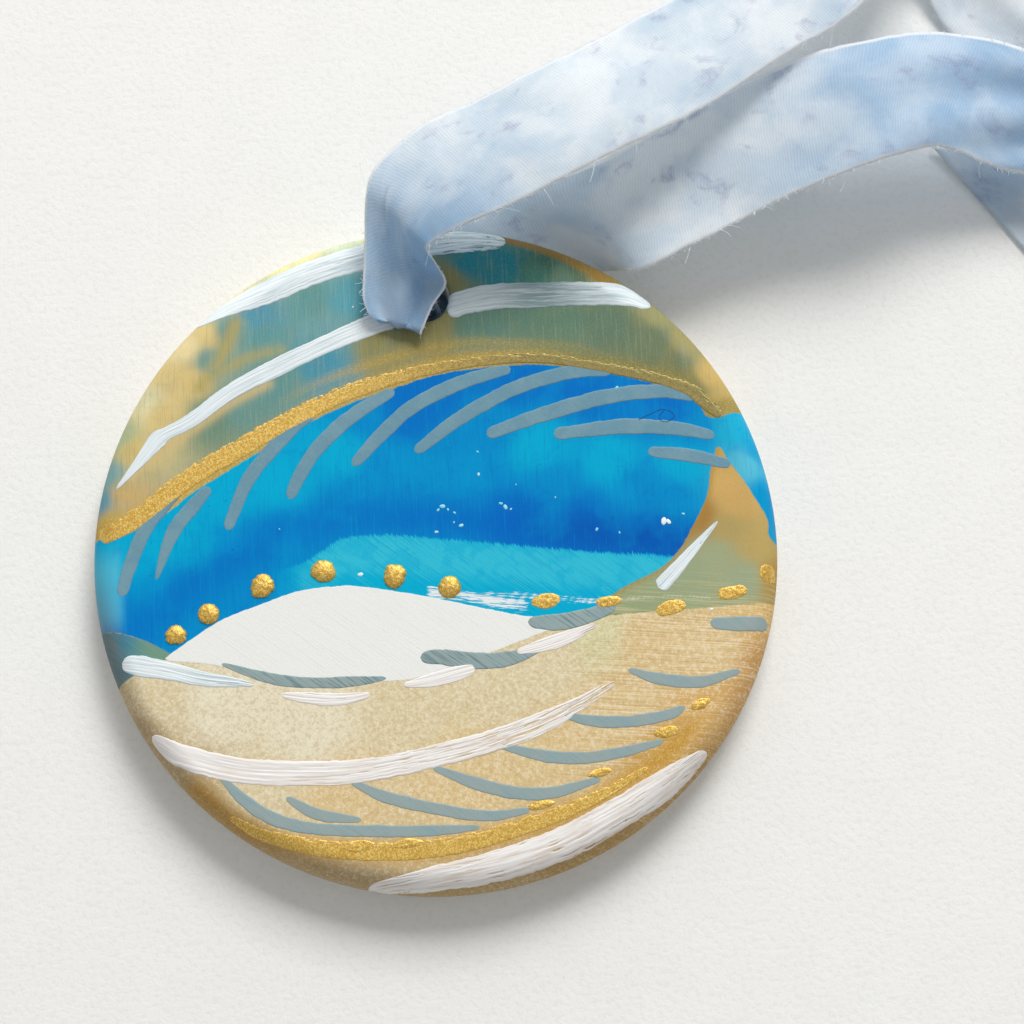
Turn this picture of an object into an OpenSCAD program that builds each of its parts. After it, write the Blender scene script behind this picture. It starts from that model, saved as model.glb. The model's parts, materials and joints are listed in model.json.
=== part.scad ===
// Hand-painted ceramic disc ornament, lying face up, on a loop of hand-torn silk ribbon.
// The disc's centre is on the Z axis, its hanging hole is on +Y and the table is at z = 0.
// One run of the ribbon lies under the disc, so the disc's back is a hair above the table.

/* [Disc] */
// Outer diameter of the ceramic disc
disc_d = 76; // [74:0.5:80]
// Thickness of the ceramic disc
disc_t = 5.5; // [5:0.1:5.8]
// Height of the disc's back over the table, where the ribbon passes under it
disc_lift = 0.4; // [0.4:0.05:0.5]
// Diameter of the hanging hole
hole_d = 5.5; // [5.4:0.1:7]
// Distance from the disc's edge to the centre of the hanging hole
hole_inset = 8.6; // [8:0.1:10]
// Rounding where the hanging hole meets the two faces
hole_round = 0.8; // [0.4:0.1:1.2]

/* [Paint] */
// Thickness of the base coat of paint
coat_t = 0.15; // [0.1:0.05:0.2]
// Height of the thin grey brush strokes over the base coat
grey_h = 0.15; // [0.1:0.05:0.3]
// Height of the metallic gold bands over the base coat
gold_h = 0.25; // [0.1:0.05:0.3]
// Height of the thick white brush strokes over the base coat
white_h = 0.35; // [0.1:0.05:0.35]
// Height of the raised gold dots over the base coat
dot_h = 0.7; // [0.4:0.05:0.8]

/* [Ribbon] */
// Thickness of the silk
silk_t = 0.2; // [0.1:0.02:0.22]
// Length of the knot
knot_l = 8; // [7:0.5:9]
// Greatest diameter of the knot
knot_d = 7.2; // [6.6:0.2:7.4]
// Diameter of the knot's two ends
knot_end_d = 5.4; // [5.4:0.1:6]
// Direction of the knot, measured from +X
knot_turn = -35; // [-45:1:-25]

/* [Hidden] */

disc_r = disc_d / 2;
rim_r = disc_t / 2;
flat_r = disc_r - rim_r;
face_z = disc_lift + disc_t;
coat_z = face_z + coat_t;
hole_y = disc_r - hole_inset;
paint_hole_r = hole_d / 2 + hole_round + 0.1;
art_scale = disc_d / 76;
smooth = 4;

// A stroke is a list of [x, y, width], laid out on a disc of 76 mm.
white_art = [
    [[-26, 27.4, 0.4], [-22, 29.3, 2], [-17, 31.2, 3], [-12.5, 33, 3], [-6.5, 34.5, 3],
     [0.5, 35.6, 2.8], [4.5, 36, 3], [7.5, 35.9, 2.6], [9.6, 35.5, 1.4]],
    [[-35.2, 8.6, 0.3], [-32.6, 11.6, 1.2], [-30.6, 14, 2], [-29.4, 14.8, 1.5], [-26.6, 16.2, 1.7],
     [-22, 19.4, 1.8], [-16, 22.3, 2.2], [-11.4, 24.4, 2.2], [-6, 26.4, 2.4], [2, 28.4, 3.1],
     [7.2, 29, 3], [13, 29, 3], [19.5, 28.8, 2.8], [22.6, 28.5, 2.7], [25.6, 27.1, 1]],
    [[31.5, 1.6, 0.3], [28.2, -1.9, 1.2], [25.2, -5, 1.7], [24.4, -5.7, 1.5]],
    [[-34.9, -11.1, 1.5], [-32.8, -11.6, 2.3], [-29.5, -12.4, 2], [-26, -13.4, 1.6],
     [-22.3, -14, 1], [-20.5, -14.4, 0.4]],
    [[-17.5, -15.6, 0.6], [-14.5, -16.1, 1.3], [-11, -16.4, 1.4], [-7.8, -16, 0.6]],
    [[-4.2, -15.2, 0.5], [-1.2, -14.8, 1.5], [1.6, -14.2, 1.7], [3.8, -13.7, 1]],
    [[8.4, -12.1, 0.6], [11, -11.6, 1.4], [13.6, -10.9, 1.6], [16, -10, 1], [17.4, -9.4, 0.4]],
    [[-31.8, -19.3, 0.8], [-28.6, -21.7, 2.4], [-23.2, -23.5, 2.8], [-18, -24.2, 2.8],
     [-11.5, -24.5, 2.7], [-7, -24.2, 2.6], [-1, -23.2, 2.5], [5, -21.9, 2.5], [10.6, -20.2, 2.4],
     [15, -18.2, 1.6], [19, -16, 0.8]],
    [[-9, -37, 0.8], [-2, -36.4, 2.4], [5.5, -35.3, 3.2], [12, -33.4, 3.4], [18.8, -30.2, 3.2],
     [24, -27.2, 2.8], [28.5, -24, 0.9]]
];
gold_art = [
    [[-37.2, 3.2, 2], [-34.4, 4.4, 2.2], [-31.6, 6.2, 2.3], [-28.7, 8.4, 2.3], [-25.4, 10.6, 2.3],
     [-22.2, 12.2, 2.3], [-18.2, 14.4, 2.2], [-14.4, 16.3, 2.1], [-9.8, 18.3, 2], [-5, 19.7, 1.7],
     [0.6, 20.9, 1.4], [6.7, 21.5, 1.2], [12.8, 21.5, 1.2], [18.4, 20.4, 1.2], [22.4, 19.4, 1.3],
     [26, 18.4, 1.4], [29.4, 16.9, 1.6], [31.8, 14.6, 1.5], [32.9, 13.6, 0.9]],
    [[-23.5, -28.6, 0.6], [-20, -30.7, 1.2], [-14, -32.5, 1.8], [-7, -33.3, 2], [1.2, -32.9, 2],
     [10, -30.8, 1.8], [16.6, -28.4, 1.4], [22, -25.6, 0.5]]
];
grey_art = [
    [[-27, 9.5, 0.8], [-29.8, 6.7, 1.5], [-32.1, 3.8, 1.5], [-33.6, 0.4, 1.4], [-34.9, -3.7, 1]],
    [[-24.8, 8.3, 0.8], [-27.1, 5.8, 1.5], [-29.2, 2.9, 1.4], [-31, -2, 0.4]],
    [[-13, 16.2, 0.8], [-15.2, 14.8, 1.4], [-18, 12, 1.5], [-20.7, 8.6, 1.4], [-23, 3.3, 0.8]],
    [[-3.8, 18.5, 0.8], [-8.3, 16, 1.5], [-12.4, 12.5, 1.5], [-14.7, 9.2, 1.4], [-16, 6.5, 1]],
    [[9.4, 20.4, 0.8], [4.5, 19.3, 1.5], [-1, 17, 1.5], [-5, 13.9, 1.5], [-8.8, 10, 0.9]],
    [[20.8, 19.6, 0.8], [15.8, 19.6, 1.5], [9.6, 18, 1.5], [3.4, 14.9, 1.5], [-1.8, 11.2, 1.1]],
    [[30, 16, 0.8], [26.1, 16.9, 1.5], [20.2, 16.6, 1.6], [12.5, 14.8, 1.6], [6.3, 12.8, 1.2]],
    [[31.8, 11.4, 0.8], [27.4, 12.5, 1.5], [21.4, 13, 1.6], [13.8, 12.5, 1.3]],
    [[33.4, 8, 0.8], [28.7, 9.3, 1.4], [24.2, 10, 1]],
    [[-24, -11.8, 0.4], [-19, -13.6, 1.1], [-14.4, -14.4, 1.1], [-10, -14.5, 1], [-6, -14.3, 0.4]],
    [[-2.2, -12.2, 1.2], [0.5, -12.3, 1.6], [4.3, -12.9, 1.7], [7.5, -12.8, 1.5], [10, -12.1, 1],
     [11.3, -11.7, 0.5]],
    [[9.8, -8.8, 1], [13.3, -9, 1.7], [16.6, -8.4, 1.5], [19.6, -7.4, 0.9]],
    [[29.8, -9.9, 1.1], [33, -10.2, 1.5], [36.2, -10.2, 1.5]],
    [[-24.4, -24.3, 0.6], [-21.9, -27, 1.2], [-18.7, -29.2, 1.3], [-14, -30.5, 1.2],
     [-7, -31.1, 1.2], [-1.5, -31.3, 1], [3.5, -31.2, 0.5]],
    [[-17.4, -26.9, 0.6], [-14, -28.9, 1.2], [-9.3, -29.8, 0.6]],
    [[-10.3, -25.5, 0.6], [-6.8, -27.3, 1.2], [-1.4, -28.9, 1.2], [4.2, -30, 1.1], [9, -29.6, 0.6]],
    [[-1.4, -24.4, 0.6], [3, -26.3, 1.3], [7.3, -27.6, 1.3], [11.6, -27.8, 1.2], [16.8, -26.6, 0.6]],
    [[5.8, -22.3, 0.6], [10.5, -23.7, 1.2], [14.8, -24.2, 1.2], [19.2, -23.8, 1.1],
     [23.9, -22.8, 0.6]],
    [[13, -19.3, 0.6], [16.4, -20.2, 1.2], [20.8, -20.4, 1.2], [24.7, -19.9, 1], [26.5, -19.1, 0.6]],
    [[20.5, -14.7, 0.6], [24, -15.9, 1.2], [28.4, -16.4, 1.2], [32.8, -15.4, 0.6]]
];
// A dot is [x, y, radius].
dot_art = [
    [-28.9, -8.3, 1.2], [-25.3, -6.2, 1.3], [-19.2, -3.3, 1.4], [-12.5, -1.9, 1.4],
    [-4.6, -2.9, 1.4], [1.4, -4.3, 1.3], [11.7, -6.5, 0.9], [18.8, -7, 0.8], [25.5, -8, 0.9],
    [32.4, -6.7, 0.8], [28, -19, 0.7], [24, -21.8, 0.7], [-4.4, -32.6, 0.8]
];

// The knot stands with its axis level. All the ribbon's places are measured from the hole's axis.
knot_at = [88, 9, 4];
knot_dir = [cos(knot_turn), sin(knot_turn), 0];
knot_side = [-sin(knot_turn), cos(knot_turn), 0];
knot_in = knot_at - knot_dir * (knot_l / 2 + 0.05);
knot_out = knot_at + knot_dir * (knot_l / 2 + 0.05);

// The ribbon leaves the knot straight: two rings of the given half width and height
function knot_exit(end, dir, half, up) = [
    for (step = [0, 2])
        [for (side = [1, -1]) end + dir * step + knot_side * half * side + [0, 0, up]]
];

// A ring is the ribbon's outer edge and its inner edge. From the knot, the loop runs round its
// far turn, over the disc's edge, down through the hole, back out under the disc and to the knot.
loop_rings = [
    each knot_exit(knot_in, -knot_dir, 2.2, -0.7),
    [[82, 25.5, 1.4], [73.5, 19, 0.9]],
    [[78.5, 34, 1.2], [68.5, 25.5, 0.7]],
    [[73.5, 41.5, 1.6], [63, 32, 0.7]],
    [[71.5, 46.8, 3], [60.5, 37.5, 2]],
    [[70, 51.5, 4.6], [59.5, 41, 4.4]],
    [[66.5, 55.5, 6.5], [60, 42.8, 6.5]],
    [[61, 55.5, 7.2], [59.5, 42, 7.8]],
    [[54.1, 51.7, 7.5], [57.4, 38.4, 9]],
    [[46.5, 44.3, 7.5], [51.4, 31.2, 9.5]],
    [[36.4, 37.6, 8], [42.1, 25.2, 10.5]],
    [[26.1, 31.3, 9.5], [31.7, 18, 13]],
    [[14.5, 25, 11.3], [20.6, 12.2, 15.2]],
    [[6.5, 21, 11.5], [12, 8, 15.3]],
    [[0, 18, 11.5], [5, 5.2, 14.6]],
    [[-4.5, 14.2, 11.6], [1.6, 4, 13.6]],
    [[-5.7, 11.5, 11.4], [0.7, 3.3, 12.9]],
    [[-6, 9.8, 10.6], [1.1, 2.7, 11.9]],
    [[-6.4, 6, 9], [1.8, 2, 10]],
    [[-6.7, 2.3, 8.2], [2.6, 0.6, 8.6]],
    [[-6.8, -0.6, 7.9], [1, -1.7, 8.1]],
    [[-6, -2.6, 7.4], [-0.6, -5, 7.5]],
    [[-4.6, -3, 7], [-0.4, -3.9, 7]],
    [[-2.4, -0.6, 6.9], [0.5, -0.9, 6.9]],
    [[-2.1, 0.4, 5.2], [0.8, 0.6, 5.2]],
    [[-1.8, 0.9, 2.8], [1.8, -0.9, 2.8]],
    [[-1.1, 1.7, 1], [1.1, -1.7, 1]],
    [[0.6, 2.2, 0.13], [2.6, -1.4, 0.13]],
    [[1.8, 8.8, 0.12], [10, -0.8, 0.12]],
    [[7.5, 14, 0.12], [19.3, 3.8, 0.12]],
    [[19, 16, 2.3], [25, 2, 6.3]],
    [[26.4, 18.8, 4], [31.3, 4.4, 7.8]],
    [[35.5, 22.8, 6], [40.3, 8.3, 9]],
    [[44.1, 25.8, 8], [48.4, 11, 10.5]],
    [[52.3, 27.3, 9], [53.7, 12.4, 11]],
    [[61, 28, 9], [59.5, 13.7, 9.5]],
    [[70.5, 25.6, 8.5], [67, 12, 6]],
    [[77, 20.5, 6.5], [74.5, 11, 5.2]],
    each reversed(knot_exit(knot_in, -knot_dir, 2.2, 1.1))
];
short_tail_rings = [
    each knot_exit(knot_out, knot_dir, 2.2, 0),
    [[97.5, 8.5, 1.8], [94.5, -1, 1.4]],
    [[101, 8, 0.3], [104, -11, 0.3]]
];
long_tail_rings = [
    each knot_exit(knot_in, -knot_dir, 1.4, -2),
    [[75, 16.5, 0.2], [77, 2.5, 0.2]],
    [[69, 17, 0.2], [75, 1.5, 0.2]],
    [[60, 17.4, 0.6], [72, 1, 0.2]]
];

function pick(list, i) = list[max(0, min(len(list) - 1, i))];

// A point of the smooth curve through the list, at step i plus the fraction f
function curve(list, i, f) =
    let (a = pick(list, i - 1), b = list[i], c = pick(list, i + 1), d = pick(list, i + 2))
    0.5 * (2 * b + (c - a) * f + (2 * a - 5 * b + 4 * c - d) * f * f
           + (3 * b - a - 3 * c + d) * f * f * f);

function smoothed(list, steps) = concat(
    [for (i = [0:len(list) - 2], s = [0:steps - 1]) curve(list, i, s / steps)],
    [list[len(list) - 1]]
);

function unit(v) = v / norm(v);

function plan_heading(list, i) =
    let (step = pick(list, i + 1) - pick(list, i - 1)) unit([step[0], step[1]]);

// One side of a stroke's outline, from its first point to its last
function stroke_side(list, side) = [
    for (i = [0:len(list) - 1])
        let (h = plan_heading(list, i), half = side * max(0.1, list[i][2] / 2))
        [list[i][0] - h[1] * half, list[i][1] + h[0] * half]
];

function reversed(list) = [for (i = [len(list) - 1:-1:0]) list[i]];

module stroke_shape(art) {
    line = smoothed(art, smooth) * art_scale;
    polygon(concat(stroke_side(line, 1), reversed(stroke_side(line, -1))));
}

// Strokes end where the face starts to round over, and keep clear of the hanging hole.
module strokes_on_face(art_list) {
    difference() {
        intersection() {
            union() for (art = art_list) stroke_shape(art);
            circle(r = flat_r, $fn = 96);
        }
        translate([0, hole_y]) circle(r = paint_hole_r, $fn = 48);
    }
}

module dots_on_face() {
    for (dot = dot_art)
        translate([dot[0], dot[1]] * art_scale) circle(r = dot[2] * art_scale, $fn = 32);
}

module disc_profile(r, half) {
    square([r - half, 2 * half]);
    translate([r - half, half]) circle(r = half, $fn = 96);
}

// What the rounded edge of the hanging hole takes away at one face
module hole_flare() {
    rotate_extrude($fn = 96) difference() {
        square([hole_d / 2 + hole_round, hole_round]);
        translate([hole_d / 2 + hole_round, 0]) circle(r = hole_round, $fn = 64);
    }
}

module ceramic_disc() {
    color("ivory") difference() {
        translate([0, 0, disc_lift]) rotate_extrude($fn = 180) intersection() {
            disc_profile(disc_r, rim_r);
            square([disc_d, disc_t]);
        }
        translate([0, hole_y, 0]) cylinder(d = hole_d, h = face_z + 1, $fn = 96);
        translate([0, hole_y, face_z - hole_round]) hole_flare();
        translate([0, hole_y, disc_lift + hole_round]) mirror([0, 0, 1]) hole_flare();
    }
}

module painted_base_coat() {
    color("deepskyblue") translate([0, 0, face_z]) linear_extrude(coat_t) difference() {
        circle(r = flat_r, $fn = 180);
        translate([0, hole_y]) circle(r = paint_hole_r, $fn = 96);
    }
}

module grey_strokes() {
    color("slategray") translate([0, 0, coat_z]) linear_extrude(grey_h) difference() {
        strokes_on_face(grey_art);
        strokes_on_face(gold_art);
        strokes_on_face(white_art);
        dots_on_face();
    }
}

module gold_bands() {
    color("darkgoldenrod") translate([0, 0, coat_z]) linear_extrude(gold_h) difference() {
        strokes_on_face(gold_art);
        strokes_on_face(white_art);
        dots_on_face();
    }
}

module white_strokes() {
    color("white") translate([0, 0, coat_z]) linear_extrude(white_h) difference() {
        strokes_on_face(white_art);
        dots_on_face();
    }
}

// Each raised dot is the cap of a ball.
module gold_dots() {
    color("goldenrod") for (dot = dot_art) {
        foot_r = dot[2] * art_scale;
        ball_r = (foot_r * foot_r + dot_h * dot_h) / (2 * dot_h);
        translate([dot[0] * art_scale, dot[1] * art_scale, coat_z]) intersection() {
            translate([0, 0, dot_h - ball_r]) sphere(r = ball_r, $fn = 48);
            translate([-5, -5, 0]) cube([10, 10, 5]);
        }
    }
}

// The silk's middle stays this high or higher, so that its underside is never below the table.
function over_table(p) = [p[0], p[1], max(p[2], 0.6 * silk_t)];

function edge_line(rings, side, steps) = [
    for (p = smoothed([for (ring = rings) ring[side]], steps)) over_table(p)
];

// A thin strip between two edges, given as rings of one point on each edge. Its upper and lower
// skins are split along the same diagonals, so that they stay apart where the strip twists.
module silk_strip(rings, steps) {
    outer = edge_line(rings, 0, steps);
    inner = edge_line(rings, 1, steps);
    middle = (outer + inner) / 2;
    last = len(outer) - 1;
    lift = [
        for (i = [0:last])
            unit(cross(inner[i] - outer[i], pick(middle, i + 1) - pick(middle, i - 1))) * silk_t / 2
    ];
    points = [
        for (i = [0:last])
            each [outer[i] + lift[i], inner[i] + lift[i], inner[i] - lift[i], outer[i] - lift[i]]
    ];
    sides = [
        for (i = [0:last - 1], k = [0:3])
            let (a = 4 * i + k, b = 4 * i + (k + 1) % 4)
            each k < 2 ? [[a, b, b + 4], [a, b + 4, a + 4]] : [[a, b, a + 4], [b, b + 4, a + 4]]
    ];
    ends = [[3, 2, 1, 0], [for (k = [0:3]) 4 * last + k]];
    translate([0, hole_y, 0]) polyhedron(points, concat(sides, ends));
}

module ribbon_loop() {
    color("lightsteelblue") silk_strip(loop_rings, 2);
}

module ribbon_tail_short() {
    color("lightsteelblue") silk_strip(short_tail_rings, 3);
}

module ribbon_tail_long() {
    color("lightsteelblue") silk_strip(long_tail_rings, 3);
}

// The knot is a barrel whose flat ends meet the ribbon's runs.
module ribbon_knot() {
    bulge = (knot_d - knot_end_d) / 2;
    arc_r = (knot_l * knot_l / 4 + bulge * bulge) / (2 * bulge);
    color("lightsteelblue") translate([0, hole_y, 0]) translate(knot_at) rotate([0, 90, knot_turn])
        rotate_extrude($fn = 96) intersection() {
            translate([knot_d / 2 - arc_r, 0]) circle(r = arc_r, $fn = 240);
            translate([0, -knot_l / 2]) square([knot_d, knot_l]);
        }
}

ceramic_disc();
painted_base_coat();
grey_strokes();
gold_bands();
white_strokes();
gold_dots();
ribbon_loop();
ribbon_knot();
ribbon_tail_short();
ribbon_tail_long();
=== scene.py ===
import json
import math

import bpy
import numpy as np
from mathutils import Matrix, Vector


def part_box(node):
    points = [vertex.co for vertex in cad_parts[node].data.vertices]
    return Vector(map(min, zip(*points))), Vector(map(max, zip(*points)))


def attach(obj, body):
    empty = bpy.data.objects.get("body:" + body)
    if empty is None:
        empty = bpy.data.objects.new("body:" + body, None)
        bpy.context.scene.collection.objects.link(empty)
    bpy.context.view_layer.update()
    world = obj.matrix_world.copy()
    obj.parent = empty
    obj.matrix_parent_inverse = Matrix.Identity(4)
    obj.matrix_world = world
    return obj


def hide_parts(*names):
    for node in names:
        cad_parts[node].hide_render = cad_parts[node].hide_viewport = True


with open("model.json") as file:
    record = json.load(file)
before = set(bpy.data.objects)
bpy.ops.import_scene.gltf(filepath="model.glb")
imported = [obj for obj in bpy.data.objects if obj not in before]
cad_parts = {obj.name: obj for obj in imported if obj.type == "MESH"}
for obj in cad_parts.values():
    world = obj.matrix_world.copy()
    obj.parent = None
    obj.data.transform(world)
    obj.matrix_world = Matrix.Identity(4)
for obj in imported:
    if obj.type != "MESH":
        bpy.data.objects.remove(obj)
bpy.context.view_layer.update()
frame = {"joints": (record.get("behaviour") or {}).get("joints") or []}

# ------------------------------
# Sizes. Lengths are in millimetres here and become metres in mesh_piece().
# ------------------------------
MM = 0.001
disc_low, disc_high = (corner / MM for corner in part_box("ceramic_disc"))
DISC_R = (disc_high.x - disc_low.x) / 2
BACK_Z, FACE_Z = disc_low.z, disc_high.z
RIM_R = (FACE_Z - BACK_Z) / 2
RIM_Z = (FACE_Z + BACK_Z) / 2
FLAT_R = DISC_R - RIM_R          # the flat part of the face
HOLE_Y = frame["joints"][0]["pos_m"][1] / MM
HOLE_AT = np.array([0, HOLE_Y, 0])
HOLE_R, HOLE_ROUND = 2.75, 0.8   # the bore and the rounding of its edges
COAT_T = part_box("painted_base_coat")[1].z / MM - FACE_Z
ROOT, DAB_ROOT = 0.07, 0.08      # how far strokes and dabs reach down into the coat
SILK_W, SILK_T = 15.0, 0.12
RIB_PITCH = 0.34                 # of the silk's weave
SILK_GLOW = 0.46                 # share of the light that comes through the silk
ART = DISC_R / 38                # the painting is laid out for a disc of 38 mm radius


# ------------------------------
# Shape helpers
# ------------------------------
def grain(x, y, size, seed=0):
    """Smooth noise from -1 to 1 that changes over about `size`, the same on each run."""
    u, v = np.asarray(x, float) / size, np.asarray(y, float) / size
    iu, iv = np.floor(u), np.floor(v)
    fu, fv = u - iu, v - iv
    fu, fv = fu * fu * (3 - 2 * fu), fv * fv * (3 - 2 * fv)

    def corner(a, b):
        h = np.sin((iu + a) * 127.1 + (iv + b) * 311.7 + seed * 74.7) * 43758.5453
        return h - np.floor(h)

    low = corner(0, 0) * (1 - fu) + corner(1, 0) * fu
    high = corner(0, 1) * (1 - fu) + corner(1, 1) * fu
    return 2 * (low * (1 - fv) + high * fv) - 1


def ramp(x, low, high):
    """0 below low, 1 above high and a smooth step between them."""
    t = np.clip((x - low) / (high - low), 0, 1)
    return t * t * (3 - 2 * t)


def curve_through(points, steps):
    """A smooth curve through the points, with `steps` rows for each stretch of it."""
    p = np.asarray(points, float)
    p = np.vstack([2 * p[0] - p[1], p, 2 * p[-1] - p[-2]])
    f = np.linspace(0, 1, steps, endpoint=False)[:, None]
    rows = [0.5 * (2 * b + (c - a) * f + (2 * a - 5 * b + 4 * c - d) * f ** 2
                   + (3 * b - a - 3 * c + d) * f ** 3) for a, b, c, d in zip(p, p[1:], p[2:], p[3:])]
    return np.vstack([*rows, p[-2:-1]])


def length_along(line):
    """How far along the line each of its rows is."""
    return np.r_[0, np.cumsum(np.linalg.norm(np.diff(line, axis=0), axis=1))]


def rows_at(at, run, line):
    """The line's rows at the lengths `at`, where `run` is the length at each of its own rows."""
    return np.stack([np.interp(at, run, column) for column in line.T], -1)


def smooth_line(points, spacing):
    """The curve through the points, as rows at an even spacing along it."""
    line = curve_through(points, 24)
    run = length_along(line[:, :2])
    return rows_at(np.linspace(0, run[-1], max(3, int(round(run[-1] / spacing)) + 1)), run, line)


def full_turn(count):
    return np.linspace(0, 2 * np.pi, count, endpoint=False)


def unit(v):
    return v / np.maximum(np.linalg.norm(v, axis=-1, keepdims=True), 1e-9)


def mesh_piece(name, solid, body, material):
    """A piece from a solid, with its faces turned outwards, its material and its body.
    A solid is points in mm, faces, and named values for each point."""
    points, faces, fields = solid
    a, b, c = (points[faces[:, k]] for k in (0, 1, 2))
    volume = (a * np.cross(b, c)).sum()
    if faces.shape[1] == 4:
        volume += (a * np.cross(c, points[faces[:, 3]])).sum()
    if volume < 0:
        faces = faces[:, ::-1]
    mesh = bpy.data.meshes.new(name)
    mesh.from_pydata((points * MM).tolist(), [], faces.tolist())
    mesh.polygons.foreach_set("use_smooth", [True] * len(mesh.polygons))
    for key, values in fields.items():
        if values.ndim == 1:
            mesh.attributes.new(key, "FLOAT", "POINT").data.foreach_set("value", values)
        else:
            rgba = np.c_[values, np.ones(len(values))].ravel()
            mesh.attributes.new(key, "FLOAT_COLOR", "POINT").data.foreach_set("color", rgba)
    mesh.validate()
    mesh.update()
    obj = bpy.data.objects.new(name, mesh)
    bpy.context.scene.collection.objects.link(obj)
    obj.data.materials.append(material)
    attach(obj, body)
    return obj


def loft(rows, cols, wrap_rows, wrap_cols):
    """Quads of a grid of rows x cols points, joined round where it wraps."""
    index = np.arange(rows * cols).reshape(rows, cols)
    if wrap_rows:
        index = np.vstack([index, index[:1]])
    if wrap_cols:
        index = np.hstack([index, index[:, :1]])
    quads = np.stack([index[:-1, :-1], index[1:, :-1], index[1:, 1:], index[:-1, 1:]], -1)
    return quads.reshape(-1, 4)


def film(top, bottom):
    """Points and quads of a closed thin film between two grids of the same shape."""
    rows, cols = top.shape[:2]
    around = np.concatenate([top, bottom[:, ::-1]], 1)
    faces = [loft(rows, 2 * cols, False, True)]
    for row in (0, rows - 1):
        k = np.arange(cols - 1)
        far = 2 * cols - 1 - k
        cap = np.stack([k, k + 1, far - 1, far], 1) + row * 2 * cols
        faces.append(cap if row == 0 else cap[:, ::-1])
    return around.reshape(-1, 3), np.vstack(faces)


def tube(path, radius):
    """Points and quads of a closed four-sided thread along the path."""
    path = np.asarray(path, float)
    ahead = unit(np.gradient(path, axis=0))
    over = np.where(np.abs(ahead[:, 2:3]) > 0.9, [[1.0, 0, 0]], [[0, 0, 1.0]])
    first = unit(np.cross(ahead, over))
    second = np.cross(ahead, first)
    a = full_turn(4)[None, :, None]
    radius = np.broadcast_to(radius, len(path))[:, None, None]
    rings = path[:, None] + radius * (np.cos(a) * first[:, None] + np.sin(a) * second[:, None])
    last = 4 * (len(path) - 1)
    caps = np.array([[3, 2, 1, 0], [last, last + 1, last + 2, last + 3]])
    return rings.reshape(-1, 3), np.vstack([loft(len(path), 4, False, True), caps]), {}


def both_sides(values):
    """A field of a film: the same value on its top and on its underside."""
    return np.concatenate([values, values[:, ::-1]], 1).reshape(-1, *values.shape[2:])


def joined(parts):
    """Several (points, faces, fields) as one."""
    points, faces, fields, start = [], [], {}, 0
    for p, f, extra in parts:
        points.append(p)
        faces.append(f + start)
        start += len(p)
        for key, values in extra.items():
            fields.setdefault(key, []).append(values)
    return (np.vstack(points), np.vstack(faces),
            {key: np.concatenate(values) for key, values in fields.items()})


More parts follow.
